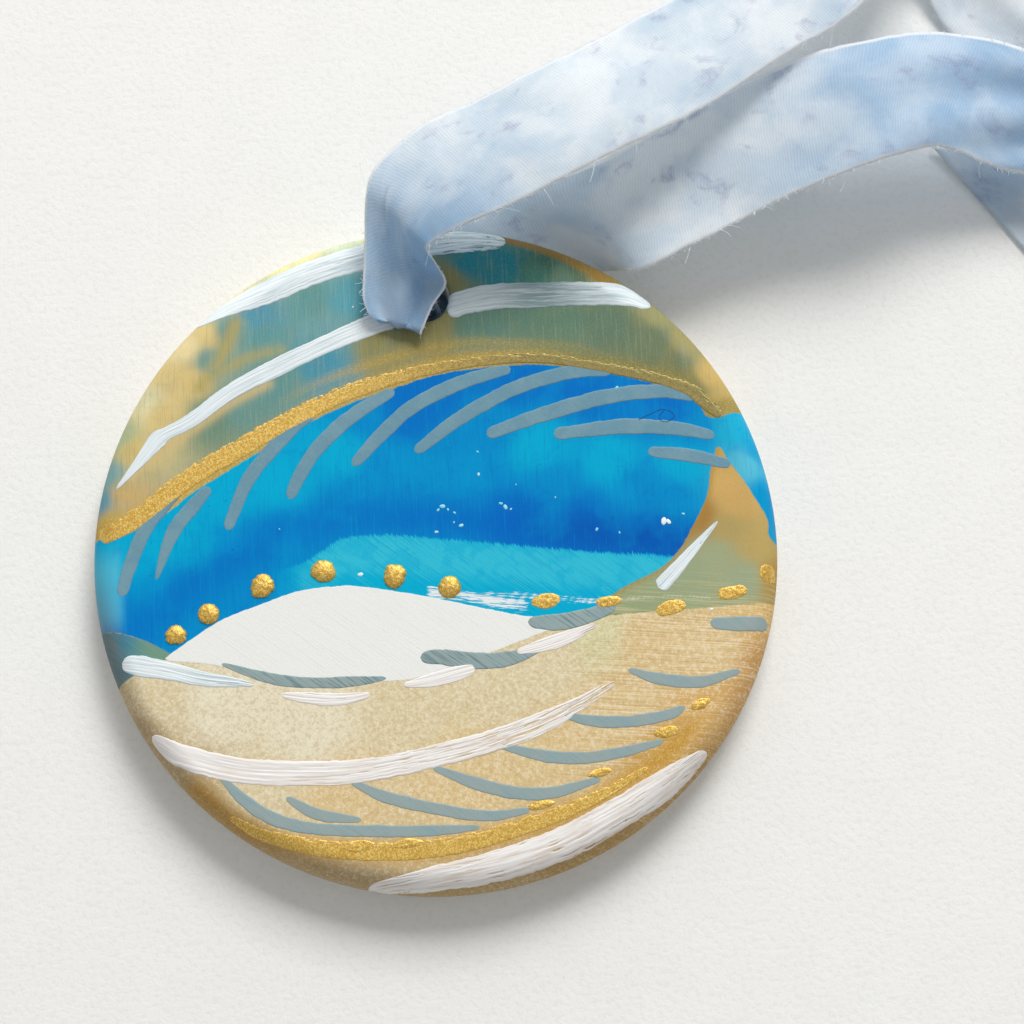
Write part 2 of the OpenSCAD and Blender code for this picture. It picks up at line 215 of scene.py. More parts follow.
# ------------------------------
# Material helper
# ------------------------------
class Finish:
    """A node material. Its coordinates are millimetres in the object's own frame."""

    def __init__(self, name, rough=0.5, metal=0.0, specular=0.5, sheen=0.0):
        self.material = bpy.data.materials.new(name)
        self.material.use_nodes = True
        self.nodes = self.material.node_tree.nodes
        self.links = self.material.node_tree.links
        self.nodes.clear()
        self.shader = self.nodes.new("ShaderNodeBsdfPrincipled")
        self.surface = self.nodes.new("ShaderNodeOutputMaterial").inputs["Surface"]
        self.put(self.surface, self.shader.outputs[0])
        for socket, value in (("Roughness", rough), ("Metallic", metal),
                              ("Specular IOR Level", specular), ("Sheen Weight", sheen)):
            self.shader.inputs[socket].default_value = value
        self.place = self.vector("MULTIPLY", self.add("TexCoord", {}, "Object"), (1 / MM,) * 3)

    def put(self, socket, value):
        if isinstance(value, bpy.types.NodeSocket):
            self.links.new(value, socket)
        elif socket.type == "RGBA":
            socket.default_value = (*linear(value), 1)
        else:
            socket.default_value = value

    def add(self, kind, inputs, output=0, **settings):
        """One output of a new node, with its inputs and its settings filled in."""
        node = self.nodes.new("ShaderNode" + kind)
        for key, value in settings.items():
            setattr(node, key, value)
        for key, value in inputs.items():
            self.put(node.inputs[key], value)
        return node.outputs[output]

    def vector(self, operation, a, b):
        return self.add("VectorMath", {0: a, 1: b}, operation=operation)

    def math(self, operation, a, b=0.0, c=0.0):
        return self.add("Math", {0: a, 1: b, 2: c}, operation=operation)

    def plus(self, a, b):
        return self.math("ADD", a, b)

    def times(self, a, b):
        return self.math("MULTIPLY", a, b)

    def field(self, name, colour=False):
        """A value or a colour that the mesh gives at each of its points."""
        return self.add("Attribute", {}, "Color" if colour else "Fac", attribute_name=name)

    def noise(self, size, detail=2.0, rough=0.5, turn=0.0, place=None, twist=0.0):
        """Noise from 0 to 1 whose features are `size` mm: one length or one for each axis."""
        place = self.place if place is None else place
        if turn:
            place = self.add("VectorRotate", {"Vector": place, "Angle": math.radians(turn)},
                             rotation_type="Z_AXIS")
        size = size if hasattr(size, "__len__") else (size,) * 3
        return self.add("TexNoise", {"Vector": self.vector("DIVIDE", place, size), "Scale": 1.0,
                                     "Detail": detail, "Roughness": rough, "Distortion": twist})

    def flakes(self, size):
        """Flat cells of about `size` mm, each with its own random colour."""
        place = self.vector("DIVIDE", self.place, (size,) * 3)
        return self.add("TexVoronoi", {"Vector": place, "Scale": 1.0}, "Color")

    def step(self, value, low, high, to_low=0.0, to_high=1.0):
        return self.add("MapRange", dict(enumerate((value, low, high, to_low, to_high))),
                        interpolation_type="SMOOTHSTEP")

    def mix(self, amount, a, b):
        return self.add("Mix", {0: amount, 6: a, 7: b}, 2, data_type="RGBA")

    def layers(self, tone, *washes):
        """The tone with washes over it: how much of each shows, its share and its colour."""
        for amount, share, colour in washes:
            tone = self.mix(self.times(amount, share), tone, colour)
        return tone

    def bump(self, height, distance, strength=1.0, under=None):
        """Bump from a height of 0 to 1 that stands for `distance` mm."""
        inputs = {"Strength": strength, "Distance": distance * MM, "Height": height}
        if under is not None:
            inputs["Normal"] = under
        return self.add("Bump", inputs)

    def finish(self, colour, rough=None, normal=None):
        for socket, value in (("Base Color", colour), ("Roughness", rough), ("Normal", normal)):
            if value is not None:
                self.put(self.shader.inputs[socket], value)
        return self.material


def linear(colour):
    """Linear red, green and blue from a screen colour that is written as 0xRRGGBB."""
    c = np.array([colour >> 16, colour >> 8 & 255, colour & 255]) / 255
    return tuple(np.where(c <= 0.04045, c / 12.92, ((c + 0.055) / 1.055) ** 2.4))


# ------------------------------
# Camera, light and floor
# ------------------------------
def make_camera():
    target = Vector((8.7, 3.8, FACE_Z)) * MM
    azimuth, elevation, distance = math.radians(2.9), math.radians(75.7), 316.4 * MM
    back = Vector((-math.sin(azimuth) * math.cos(elevation),
                   -math.cos(azimuth) * math.cos(elevation), math.sin(elevation)))
    data = bpy.data.cameras.new("camera")
    data.lens, data.sensor_width = 100, 36
    data.clip_start, data.clip_end = 0.01, 10
    camera = bpy.data.objects.new("camera", data)
    camera.location = target + back * distance
    camera.rotation_euler = (-back).to_track_quat("-Z", "Y").to_euler()
    bpy.context.scene.collection.objects.link(camera)
    bpy.context.scene.camera = camera


def area_light(name, azimuth, elevation, distance, size, power, colour=(1, 1, 1)):
    """A square light that looks at the disc; azimuth is measured from +X, distance in metres."""
    a, e = math.radians(azimuth), math.radians(elevation)
    away = Vector((math.cos(a) * math.cos(e), math.sin(a) * math.cos(e), math.sin(e)))
    data = bpy.data.lights.new(name, "AREA")
    data.size, data.energy, data.color = size, power, colour
    light = bpy.data.objects.new(name, data)
    light.location = away * distance
    light.rotation_euler = (-away).to_track_quat("-Z", "Y").to_euler()
    bpy.context.scene.collection.objects.link(light)


def make_studio():
    world = bpy.data.worlds.new("studio")
    world.use_nodes = True
    sky = world.node_tree.nodes["Background"]
    sky.inputs["Color"].default_value = (0.97, 0.985, 1.0, 1)
    sky.inputs["Strength"].default_value = 0.42
    bpy.context.scene.world = world
    bpy.context.scene.view_settings.view_transform = "Standard"
    area_light("window", 71, 40, 1.7, 0.75, 23.0, (1.0, 0.992, 0.975))
    area_light("window_glow", 84, 22, 1.7, 1.6, 10.0, (0.99, 0.995, 1.0))


def make_floor():
    paper = Finish("paper", rough=0.9, specular=0.1)
    fibre = paper.noise(0.7, detail=5, rough=0.65)
    cloud = paper.noise(5, detail=3)
    tone = paper.mix(cloud, 0xEFEEEA, 0xF4F3F0)
    tone = paper.mix(paper.step(fibre, 0.36, 0.5, 0.4, 0.0), tone, 0xE6E5E0)
    normal = paper.bump(fibre, 0.12, 0.6)
    mesh = bpy.data.meshes.new("floor")
    half = 1.5
    mesh.from_pydata([(-half, -half, 0), (half, -half, 0), (half, half, 0), (-half, half, 0)],
                     [], [(0, 1, 2, 3)])
    floor = bpy.data.objects.new("floor", mesh)
    mesh.materials.append(paper.finish(tone, normal=normal))
    bpy.context.scene.collection.objects.link(floor)


make_camera()
make_studio()
make_floor()


# ------------------------------
# The ceramic disc and the skin of paint over it
# ------------------------------
def face_stations(start, count):
    """Circles over the face, from the hole's edge to the rim, with their normals.
    A station is centre_y, radius, z, outward part and upward part of the normal."""
    hole = HOLE_R + HOLE_ROUND
    flare = [(HOLE_Y, hole - HOLE_ROUND * math.sin(a), FACE_Z - HOLE_ROUND * (1 - math.cos(a)),
              -math.sin(a), math.cos(a)) for a in np.radians(np.linspace(start, 8, 6))]
    flat = [(HOLE_Y * (1 - t), hole + (FLAT_R - hole) * t, FACE_Z, 0, 1)
            for t in np.linspace(0, 1, count)]
    return flare + flat


def rim_stations(end, count):
    return [(0, FLAT_R + RIM_R * math.sin(a), RIM_Z + RIM_R * math.cos(a),
             math.sin(a), math.cos(a)) for a in np.radians(np.linspace(0, end, count))[1:]]


def turned_over(stations):
    """The same circles on the disc's back, in the opposite order."""
    return [(y, r, 2 * RIM_Z - z, out, -up) for y, r, z, out, up in reversed(stations)]


def skin(stations, lift, turns):
    """Points of the circles, `lift` mm off the ceramic; lift is a number or one for each point."""
    y, r, z, out, up = (np.array(column)[None, :] for column in zip(*stations))
    a = full_turn(turns)[:, None]
    reach = r + lift * out
    return np.stack(np.broadcast_arrays(reach * np.cos(a), y + reach * np.sin(a), z + lift * up), -1)


def bisque_finish():
    f = Finish("bisque_ceramic", rough=0.85, specular=0.3)
    speck = f.step(f.noise(0.35, detail=1), 0.68, 0.78)
    cloud = f.noise(9, detail=3)
    tone = f.layers(
        f.mix(cloud, 0xDED6C6, 0xECE7DB),
        (speck, 0.35, 0xB2A084))
    sanding = f.noise((0.18, 5, 5), detail=2, turn=62)
    normal = f.bump(f.noise(0.3, detail=3, rough=0.7), 0.05, 0.7)
    return f.finish(tone, normal=f.bump(sanding, 0.04, 0.5, normal))


def make_disc():
    top = face_stations(86, 22) + rim_stations(90, 12)
    stations = top + turned_over(top)
    grid = skin(stations, 0.0, 480)
    solid = grid.reshape(-1, 3), loft(*grid.shape[:2], True, True), {}
    obj = mesh_piece("disc_body", solid, "disc", bisque_finish())
    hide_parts("ceramic_disc")


# ------------------------------
# The painting: colours and areas, laid out in mm on the disc's face
# ------------------------------
TAN, PALE_GOLD, BROWN_GOLD = 0xDAC080, 0xEAE0A6, 0xA47C3E
SAGE, OLIVE, TEAL = 0x6A8A76, 0x8E8858, 0x629898
DEEP_TEAL, BLUISH, DIM_GOLD = 0x268492, 0x4892A8, 0xC6A864
AZURE, TURQUOISE, COBALT = 0x008AC8, 0x00A8D0, 0x0070C2
SAND, PALE_SAND, WARM_SAND = 0xDCCDA8, 0xE6DCC0, 0xDCC290
DIM_SAND, RUST = 0xC0AC86, 0xCC9C5C
IVORY = 0xECECE7

# Where the washes have which colour: x, y, colour. The dark teal, sage and olive tones at the upper
# right, about x 5 to 26 and y 21 to 36, are darkened as painted shadow of the ribbon
FIELD_TONES_AND_RIBBON_SHADOW = [
    (-31.5, 18.5, 0xE2D6A6), (-27, 24.5, 0xE4D09A), (-29, 21, TAN), (-30, 17, TAN),
    (-33.5, 13, 0xD4BC78), (-34.6, 8, 0xCCAC6E), (-36, 4.6, DIM_GOLD), (-37.1, 7.6, 0x5C9CB0),
    (-36.2, 10.6, 0x7CA8A8), (-34.6, 14.8, 0xB0BA90), (-26.5, 21, TAN), (-24.5, 26, TAN),
    (-21.5, 31.5, PALE_GOLD), (-15, 34.5, PALE_GOLD), (-6.5, 37, 0xDCE4BE), (-22.5, 26.5, TEAL),
    (-24.5, 23, TEAL), (-18.5, 25.2, TEAL), (-19, 28.4, 0x5296AC), (-11, 26, 0x70A0A4),
    (-8, 29.5, 0x58A0AE), (-13, 30, TEAL), (-24.5, 16.5, SAGE), (-21, 17.3, 0x66928C),
    (-17, 20, 0x609290), (-11.5, 21.8, BLUISH), (-5.3, 24, OLIVE), (1, 25.8, OLIVE), (3, 31.4, OLIVE),
    (5, 33.3, DEEP_TEAL), (9, 32.8, DEEP_TEAL), (13, 32, 0x468074), (16, 30.8, SAGE),
    (11.5, 35.8, 0x387476), (14, 33.2, 0x42665A), (17.5, 32, 0x526850), (20.5, 30.6, 0x968E52),
    (5.5, 25.6, 0x608678), (10, 25.8, 0x628472), (15, 25.2, 0x62826E), (20.5, 25.4, 0x627C68),
    (22, 23.4, 0x667C64), (25.6, 23, 0x707E62), (24.5, 21, 0x687A60), (28, 20, 0x747C5A),
    (29.6, 16.9, 0x7C7E54), (29.4, 22.6, 0xA09460), (31.8, 18.6, DIM_GOLD), (33.2, 15, DIM_GOLD),
    (26.4, 26.2, 0x969264)]
WAVE_TONES = [
    (-36, 0, TURQUOISE), (-35, -4, AZURE), (-33, -7, AZURE), (-30, 3, TURQUOISE), (-27.5, -3, AZURE),
    (-25, -6, AZURE), (-22, -4.5, AZURE), (-23, 8, TURQUOISE), (-27, 1, TURQUOISE), (-22, 0.5, AZURE),
    (-17, 8, TURQUOISE), (-17, 2.5, AZURE), (-10, 12, TURQUOISE), (-10, 4.5, AZURE), (-5, 9, AZURE),
    (-8, 15.5, AZURE), (-3, 15.5, COBALT), (0, 18.5, COBALT), (2, 3.2, AZURE), (4, 9, AZURE),
    (0, 9.5, 0x008AC6), (9, 19, COBALT), (7, 14, AZURE), (10, 3.4, COBALT), (12, 11, TURQUOISE),
    (16, 18.5, COBALT), (13, 6.5, AZURE), (17, 2.4, COBALT), (20, 9.5, TURQUOISE), (21, 15, COBALT),
    (23, 5.5, AZURE), (24, 1, COBALT), (26, 4, AZURE), (28, 9, TURQUOISE), (27, 14.5, COBALT),
    (29.5, 12, AZURE), (34, 12, 0x1EAACE), (35.4, 8, 0x58BAD2), (36.8, 9.5, 0x0098CA),
    (37.2, 4.5, 0x0092C8)]
WEDGE_TONES = [
    (32, 9, 0xC4A058), (32.3, 6, 0xD0AA66), (33.5, 3.5, 0xCAA664), (32.5, 1, 0xB09C62),
    (29.5, 2.4, BROWN_GOLD), (31, -2.4, 0x9EA884), (28, -4.2, 0x98A684), (24, -7, 0x96A47E),
    (34, -5, 0x9AA888), (35.6, -1.5, 0xBAA264), (37.5, -5, 0xB4904A)]
SAND_TONES = [
    (-32, -15.5, SAND), (-24, -16.5, PALE_SAND), (-15, -19, PALE_SAND), (-4, -17.5, SAND),
    (6, -15, SAND), (12, -13, SAND), (17, -10.5, 0xD6D0A4), (23, -12, WARM_SAND), (30, -12, WARM_SAND),
    (35.5, -9, 0xD8B470), (36.5, -14, RUST), (33.5, -20, RUST), (29, -20, 0xD6AC68),
    (20, -18.5, WARM_SAND), (14, -22.5, WARM_SAND), (2, -25.5, WARM_SAND), (-12, -27.6, WARM_SAND),
    (-20, -26, SAND), (-27.5, -24.5, DIM_SAND), (-33.5, -19, DIM_SAND), (-22, -32, DIM_SAND),
    (-12, -36.5, DIM_SAND), (4, -38, 0xC2AA7A), (16, -36, 0xB8985C), (27, -28.5, 0xBC9A62),
    (24, -24.5, 0xCCA258)]

# Outlines of the painted areas
WAVE_TOP = [
    (-42, 2.6), (-37, 3.2), (-31.7, 4.2), (-26.8, 7.7), (-23.4, 9.7), (-18.1, 12.7), (-14.1, 14.9),
    (-9.4, 17), (-4.7, 18.5), (0.7, 20), (6.7, 20.7), (12.8, 20.7), (15.8, 20.2), (21.2, 19.1),
    (25.1, 17.9), (27.7, 17.1), (30, 15.6), (31.4, 13.5), (34.2, 14.1), (42, 16)]
WEDGE_LEFT = [
    (31.9, 10), (31.1, 7.3), (30.4, 4.3), (28.1, 0.1), (27.1, -1.4), (24.8, -3.5), (20.3, -5.6),
    (17.9, -7.4)]
WEDGE_RIGHT = [(42, -3), (37.4, -0.7), (37.1, 1.5), (35.8, 4), (34.5, 6.3), (33.1, 8.5), (32.3, 10.2)]
WEDGE_FOOT = [(17.9, -8.4), (29, -8.2), (37, -7.9), (42, -7.6)]
LENS_TOP = [
    (-30.3, -10.9), (-25.2, -7.6), (-22.7, -6.4), (-20.3, -5.6), (-15.5, -4.1), (-11.2, -3.7),
    (-8.3, -3.9), (-1.9, -5.2), (5.4, -7.1), (9.5, -8.1), (13.4, -8.6), (16.4, -8.2)]
LENS_FOOT = [
    (16.4, -8.8), (11.9, -9.9), (6.5, -11.7), (0.4, -13.6), (-3.8, -14.6), (-8.7, -14.5),
    (-14.6, -14.2), (-18.8, -13.4), (-24.1, -12), (-30.3, -11.1)]
PATCH_TOP = [(-42, -7.4), (-36.6, -7.5), (-32.6, -8.7), (-29.6, -10.4)]
SAND_TOP = [
    (-42, -14.6), (-37, -14.2), (-34.8, -13.2), (-30, -11), (-14, -9), (2, -9.4), (13, -9.4),
    (19.5, -8.5), (29, -8.1), (37, -7.8), (42, -7.5)]
SHALLOWS_LINE = [
    (-20, -3.4), (-18.5, -2.3), (-14.4, -0.9), (-11.8, 0.7), (-10.2, 1.5), (-5.6, 1.7), (-0.9, 1.1),
    (5.3, 0.3), (10.2, -0.4), (18.1, -1.5), (22.5, -1.9), (28, -2.6)]

# Middle lines of soft marks
DEEP_BAND = [
    (-37, -10), (-33, -7.5), (-28.5, -4), (-24, -1), (-19, 1.4), (-14, 3.2), (-8, 4), (-1, 3.4),
    (7, 2.4), (16, 1.2), (24, 0), (29, -1)]
UPPER_GOLD = [
    (-24, 13), (-15, 18.6), (-7.6, 21.4), (-1.5, 22.9), (4.6, 23.7), (9.7, 23.4), (16.7, 22.6),
    (21, 21), (26.2, 19.3), (30, 17.2)]
LOWER_GOLD = [
    (-27, -25.6), (-23.2, -29), (-19.3, -31.1), (-14, -32.6), (-8, -33.3), (-2, -33.4), (4, -32.6),
    (11, -30.8), (17, -28.4), (23, -25), (27, -21.5)]
SMUDGE = [(-25.5, 20), (-24, 22), (-22.6, 24.6), (-21.4, 27.2)]
SECOND_SMUDGE = [(-25, 20.8), (-20.5, 23), (-16.5, 24)]
# the brown band along the upper right rim is real paint, drawn darker as painted shadow of the ribbon
BROWN_RIM_IN_SHADOW = [(9, 36.8), (12.3, 35.6), (15.7, 34.2), (18.4, 32.5), (20.8, 30.6), (22, 29.6)]
UNDER_WHITE = [(-33.5, 10), (-30.4, 12.6), (-26, 15.4), (-22.4, 17.8), (-18, 20)]
RUBBED = [(-0.6, -4.8), (3, -5.5), (6.6, -6.5), (9.4, -7)]
RUBBED_LINE = [(5, -5.5), (10, -5.9), (17.4, -6.8), (23, -6.7), (30, -7)]


def nearest_squared(x, y, line):
    """The square of how far points are from the nearest straight piece of a line."""
    nearest = np.full(x.shape, 1e9)
    for (ax, ay), (bx, by) in zip(line, line[1:]):
        dx, dy = bx - ax, by - ay
        t = np.clip(((x - ax) * dx + (y - ay) * dy) / max(dx * dx + dy * dy, 1e-9), 0, 1)
        nearest = np.minimum(nearest, (ax + t * dx - x) ** 2 + (ay + t * dy - y) ** 2)
    return nearest


def inside_by(x, y, *lines):
    """How far points lie inside the closed outline that the lines make, in mm; negative outside."""
    outline = np.vstack([smooth_line(line, 0.5) for line in lines]) * ART
    outline = np.vstack([outline, outline[:1]])
    inside = np.zeros(x.shape, bool)
    for (ax, ay), (bx, by) in zip(outline, outline[1:]):
        if ay != by:
            inside ^= ((ay > y) != (by > y)) & (x < ax + (y - ay) * (bx - ax) / (by - ay))
    return np.where(inside, 1, -1) * np.sqrt(nearest_squared(x, y, outline))


def near_line(x, y, line, width):
    """1 on an open line and less away from it, over about `width` mm."""
    return np.exp(-nearest_squared(x, y, smooth_line(line, 1.0) * ART) / width ** 2)


def above_line(x, y, line):
    """How far points lie above an open line that runs from left to right, in mm."""
    line = smooth_line(line, 0.5) * ART
    return y - np.interp(x, line[:, 0], line[:, 1])


def tones(x, y, list_of_tones):
    """Colour of each point, blended from the nearest tones."""
    total, weights = np.zeros((*x.shape, 3)), np.zeros(x.shape)
    for tx, ty, tone in list_of_tones:
        w = ((x - tx * ART) ** 2 + (y - ty * ART) ** 2 + 1.0) ** -2.2
        total += w[..., None] * np.array(linear(tone))
        weights += w
    return total / weights[..., None]


def coat_finish():
    f = Finish("base_paint", rough=0.5, specular=0.06)
    ragged = f.math("SUBTRACT", f.noise(0.9, detail=4, rough=0.65), 0.5)
    fine = f.math("SUBTRACT", f.noise(0.16, detail=2), 0.5)
    wander = f.plus(f.times(ragged, 0.5), f.times(fine, 0.12))

    def area(name, soft=0.05, amount=1.0):
        edge = f.plus(f.field(name), f.times(wander, amount))
        return f.step(edge, -soft, soft)

    upright = f.noise((0.16, 4.5, 4.5), detail=3, rough=0.6)
    slanted = f.noise((0.15, 8, 8), detail=3, rough=0.6, turn=-52)
    crosswise = f.noise((8, 0.17, 8), detail=3, rough=0.6, turn=6)
    low, right = f.field("low"), f.field("right")
    streak = f.mix(low, upright, f.mix(right, slanted, crosswise))
    grit = f.noise(0.24, detail=3, rough=0.75)
    blot = f.noise(2.2, detail=5, rough=0.62, twist=0.6)
    cloud = f.noise(6, detail=3)
    glint = f.step(f.noise(0.17, detail=1), 0.46, 0.66)
    gold = f.mix(glint, 0xBA9A46, 0xD6B664)

    # upper field: thin washes of teal, sage and gold over one another, with painted shadow of the
    # ribbon at its upper right
    field = f.layers(
        f.field("field_tone_and_shadow", True),
        (f.step(blot, 0.46, 0.64), 0.15, 0x848E6C),
        (f.step(cloud, 0.52, 0.66), 0.08, 0x4894B0),
        (f.field("smudge"), f.step(blot, 0.3, 0.5, 0.35, 0.85), 0xB2A262),
        (f.field("under_white"), f.step(upright, 0.3, 0.5, 0.5, 0.85), 0xD0B882),
        # brown-gold rim band, its dark tone partly painted shadow of the ribbon
        (f.step(f.field("brown_rim_in_shadow"), 0.35, 0.8), 0.9, 0x8E6E30),
        (f.step(upright, 0.52, 0.70), 0.26, 0x487A7A),
        (f.step(upright, 0.34, 0.46, 1.0, 0.0), 0.14, 0xBEC4A0),
        (f.step(grit, 0.50, 0.66), 0.12, 0xBAAC70))
    wash = f.times(f.field("wash"), f.step(grit, 0.30, 0.60, 0.8, 1.0))
    field = f.mix(wash, field, f.mix(right, gold, f.mix(glint, 0x8C8046, 0xA89658)))

    # lower field: speckled sand
    speckle = f.noise(0.42, detail=4, rough=0.75)
    sand = f.layers(
        f.field("sand_tone", True),
        (f.step(speckle, 0.50, 0.62), 0.40, 0xBEA270),
        (f.step(speckle, 0.38, 0.50, 1.0, 0.0), 0.45, 0xF2EAD2),
        (f.step(streak, 0.52, 0.66), f.field("worn"), 0xF4E2BE),
        (f.step(streak, 0.34, 0.46, 1.0, 0.0), f.field("worn"), 0xBA9058))
    low_gold = f.times(f.field("low_gold"), f.step(streak, 0.3, 0.62, 0.55, 1.0))
    sand = f.mix(low_gold, sand, f.mix(glint, 0xBC8C32, 0xD8AC54))

    # the wave: blue pigment over turquoise, thinner in streaks
    bruise = f.step(f.noise(0.8, detail=3, rough=0.7), 0.67, 0.73)
    wave = f.layers(
        f.mix(f.field("deep_band"), f.field("wave_tone", True), f.mix(right, 0x0068C0, 0x0054B0)),
        (f.step(blot, 0.50, 0.70), 0.22, 0x006CBE),
        (f.step(cloud, 0.48, 0.64), 0.16, 0x00B0DA),
        (f.step(upright, 0.52, 0.70), 0.26, 0x0064B0),
        (f.step(upright, 0.32, 0.44, 1.0, 0.0), 0.16, 0x00B4DA),
        (bruise, 0.40, 0x005296))

    # the wave's shallows: a lighter field with a brushed upper edge and scratches
    bristles = f.noise((0.11, 2.6, 2.6), detail=4, rough=0.7, turn=-14)
    shallow_edge = f.plus(f.field("shallows"), f.times(bristles, 1.8))
    shallow = f.times(f.step(shallow_edge, 0.62, 0.86), f.field("shallows_fade"))
    haze = f.step(f.plus(f.field("haze"), f.times(slanted, 1.6)), 0.9, 1.7)
    scratch = f.noise((0.10, 7, 7), detail=3, rough=0.65, turn=-50)
    shallow_tone = f.layers(
        f.mix(haze, 0x00ACD0, 0x34BCD5),
        (f.step(scratch, 0.57, 0.63), 0.55, 0x008ABC),
        (f.step(blot, 0.46, 0.60), 0.45, 0x00A8D0))
    wave = f.layers(f.mix(shallow, wave, shallow_tone), (f.field("thin_rim"), 0.6, 0x60C2D6))
    hairs = f.noise((2.4, 0.13, 2.4), detail=4, rough=0.7, turn=7)
    rub = f.step(f.times(f.field("rub"), f.math("MULTIPLY_ADD", hairs, 3.4, -0.95)), 0.44, 0.66)
    wave = f.mix(rub, wave, 0xE6ECEC)

    # the dark patch at the left, the wedge at the right and the ivory lens
    patch = f.layers(
        f.mix(f.field("patch_blue"), 0x709882, 0x3E8096),
        (f.step(streak, 0.46, 0.62), 0.4, 0x80968C))
    wedge = f.layers(
        f.field("wedge_tone", True),
        (f.step(crosswise, 0.50, 0.62), f.field("low"), 0xBABA8C),
        (f.step(grit, 0.50, 0.66), 0.30, 0xB09054),
        (f.field("wedge_edge"), 0.75, 0xAC843E),
        (rub, 0.5, 0xDEDCCC))
    lens = f.layers(
        IVORY,
        (f.step(slanted, 0.54, 0.66), 0.5, 0xDEDDD6),
        (f.step(grit, 0.44, 0.6), 0.3, 0xF2F2F0))

    tone = f.mix(area("sand", 0.10), field, sand)
    tone = f.mix(area("wave", 0.06), tone, wave)
    tone = f.mix(area("patch", 0.10), tone, patch)
    tone = f.mix(area("wedge", 0.10), tone, wedge)
    tone = f.mix(area("lens", 0.04, 0.5), tone, lens)
    tone = f.layers(tone, (f.field("rim"), f.step(grit, 0.36, 0.62, 0.35, 1.0), 0x96764C))

    normal = f.bump(streak, 0.03, 0.6)
    normal = f.bump(grit, 0.03, 0.6, normal)
    normal = f.bump(area("lens", 0.12), 0.05, 0.5, normal)
    rough = f.step(f.field("wave"), -0.1, 0.1, 0.56, 0.45)
    return f.finish(tone, rough=rough, normal=normal)


COAT_END = 106      # where the paint ends on average, in degrees round the rim from the face
SKIN_END = 122      # where its skin ends, under the bisque
UNDERSIDE = 0.08    # how far the skin's closed underside lies inside the ceramic


def make_coat():
    face, rim, turns = face_stations(60, 100), rim_stations(SKIN_END, 24), 560
    stations = face + rim
    a = full_turn(turns)[:, None]
    run_on = np.r_[np.zeros(len(face)), np.linspace(0, SKIN_END, len(rim) + 1)[1:]][None, :]
    ragged_end = COAT_END + 7 * grain(a * 9, 0, 1) + 4 * grain(a * 40, 0, 1, 3)
    into_hole = np.ones(len(stations))
    into_hole[:3] = (-0.4, 0.5, 0.9)   # the paint thins out down the hole's soft edge
    lift = COAT_T * np.minimum(ramp(ragged_end - run_on, -5, 5) * 1.4 - 0.4, into_hole[None, :])
    top = skin(stations, lift, turns)
    under = skin(stations, np.minimum(lift, 0) - UNDERSIDE, turns)[:, ::4]
    around = np.concatenate([top, under[:, ::-1]], 1)

    # where each point lies on the flat painting, past the rim's widest circle too
    past = np.maximum(run_on - 90, 0) * math.pi / 180 * RIM_R
    plan = around[..., :2]
    reach = np.linalg.norm(plan, axis=-1)
    spread = np.concatenate([past, past[:, ::4][:, ::-1]], 1)
    x, y = (plan[..., k] * (reach + 2 * spread) / np.maximum(reach, 1) for k in (0, 1))
    over_wave = above_line(x, y, WAVE_TOP)
    edge = np.hypot(x, y) - (FLAT_R - 0.6)
    gold_wash = ramp(over_wave, -0.6, 0.2) * np.exp(-np.maximum(over_wave - 1.6, 0) / 0.8) * 0.9
    fields = {
        "field_tone_and_shadow": tones(x, y, FIELD_TONES_AND_RIBBON_SHADOW), "wave_tone": tones(x, y, WAVE_TONES),
        "wedge_tone": tones(x, y, WEDGE_TONES), "sand_tone": tones(x, y, SAND_TONES),
        "wave": inside_by(x, y, WAVE_TOP, WEDGE_RIGHT, WEDGE_LEFT,
                          [(16.4, -8.6), (2, -9), (-14, -9), (-29.6, -10.6)], PATCH_TOP[::-1]),
        "wedge": inside_by(x, y, WEDGE_RIGHT, WEDGE_LEFT, WEDGE_FOOT),
        "wedge_edge": near_line(x, y, WEDGE_LEFT, 0.35),
        "lens": inside_by(x, y, LENS_TOP, LENS_FOOT),
        "patch": inside_by(x, y, PATCH_TOP, [(-30, -11), (-34.8, -13.2), (-37, -14.2), (-42, -14.6)]),
        "patch_blue": ramp(-x, 31.5, 35), "sand": -above_line(x, y, SAND_TOP),
        "shallows": -above_line(x, y, SHALLOWS_LINE), "shallows_fade": ramp(x, -19, -13),
        "haze": np.exp(-(above_line(x, y, SHALLOWS_LINE) + 1.8) ** 2 / 7) * ramp(x, -18, -12),
        "deep_band": near_line(x, y, DEEP_BAND, 2.7) * (0.62 + 0.3 * ramp(x, -12, 12)),
        "thin_rim": ramp(edge, -1.5, 0.8) * ramp(-x, 34, 35.5) * ramp(-np.abs(y + 3), -6, -2),
        "rub": np.maximum(near_line(x, y, RUBBED, 0.8), 0.72 * near_line(x, y, RUBBED_LINE, 0.6)),
        "wash": np.maximum(gold_wash, near_line(x, y, UPPER_GOLD, 0.65) * ramp(x, -20, -8) * 0.55),
        "smudge": np.maximum(near_line(x, y, SMUDGE, 1.0), 0.8 * near_line(x, y, SECOND_SMUDGE, 0.8)),
        "under_white": near_line(x, y, UNDER_WHITE, 0.7), "brown_rim_in_shadow": near_line(x, y, BROWN_RIM_IN_SHADOW, 1.3),
        "low_gold": near_line(x, y, LOWER_GOLD, 1.35) * 0.9,
        "rim": ramp(edge, 0.4, 3.0) * ramp(-y - 0.25 * x, 8, 18) * 0.5,
        "worn": 0.08 + 0.42 * ramp(x - 0.35 * y, 8, 32),
        "low": ramp(-y, 2, 9), "right": ramp(x, 4, 20),
    }
    fields = {key: value.reshape(-1, *value.shape[2:]) for key, value in fields.items()}
    solid = around.reshape(-1, 3), loft(*around.shape[:2], True, True), fields
    obj = mesh_piece("paint_skin", solid, "disc", coat_finish())
    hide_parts("painted_base_coat")


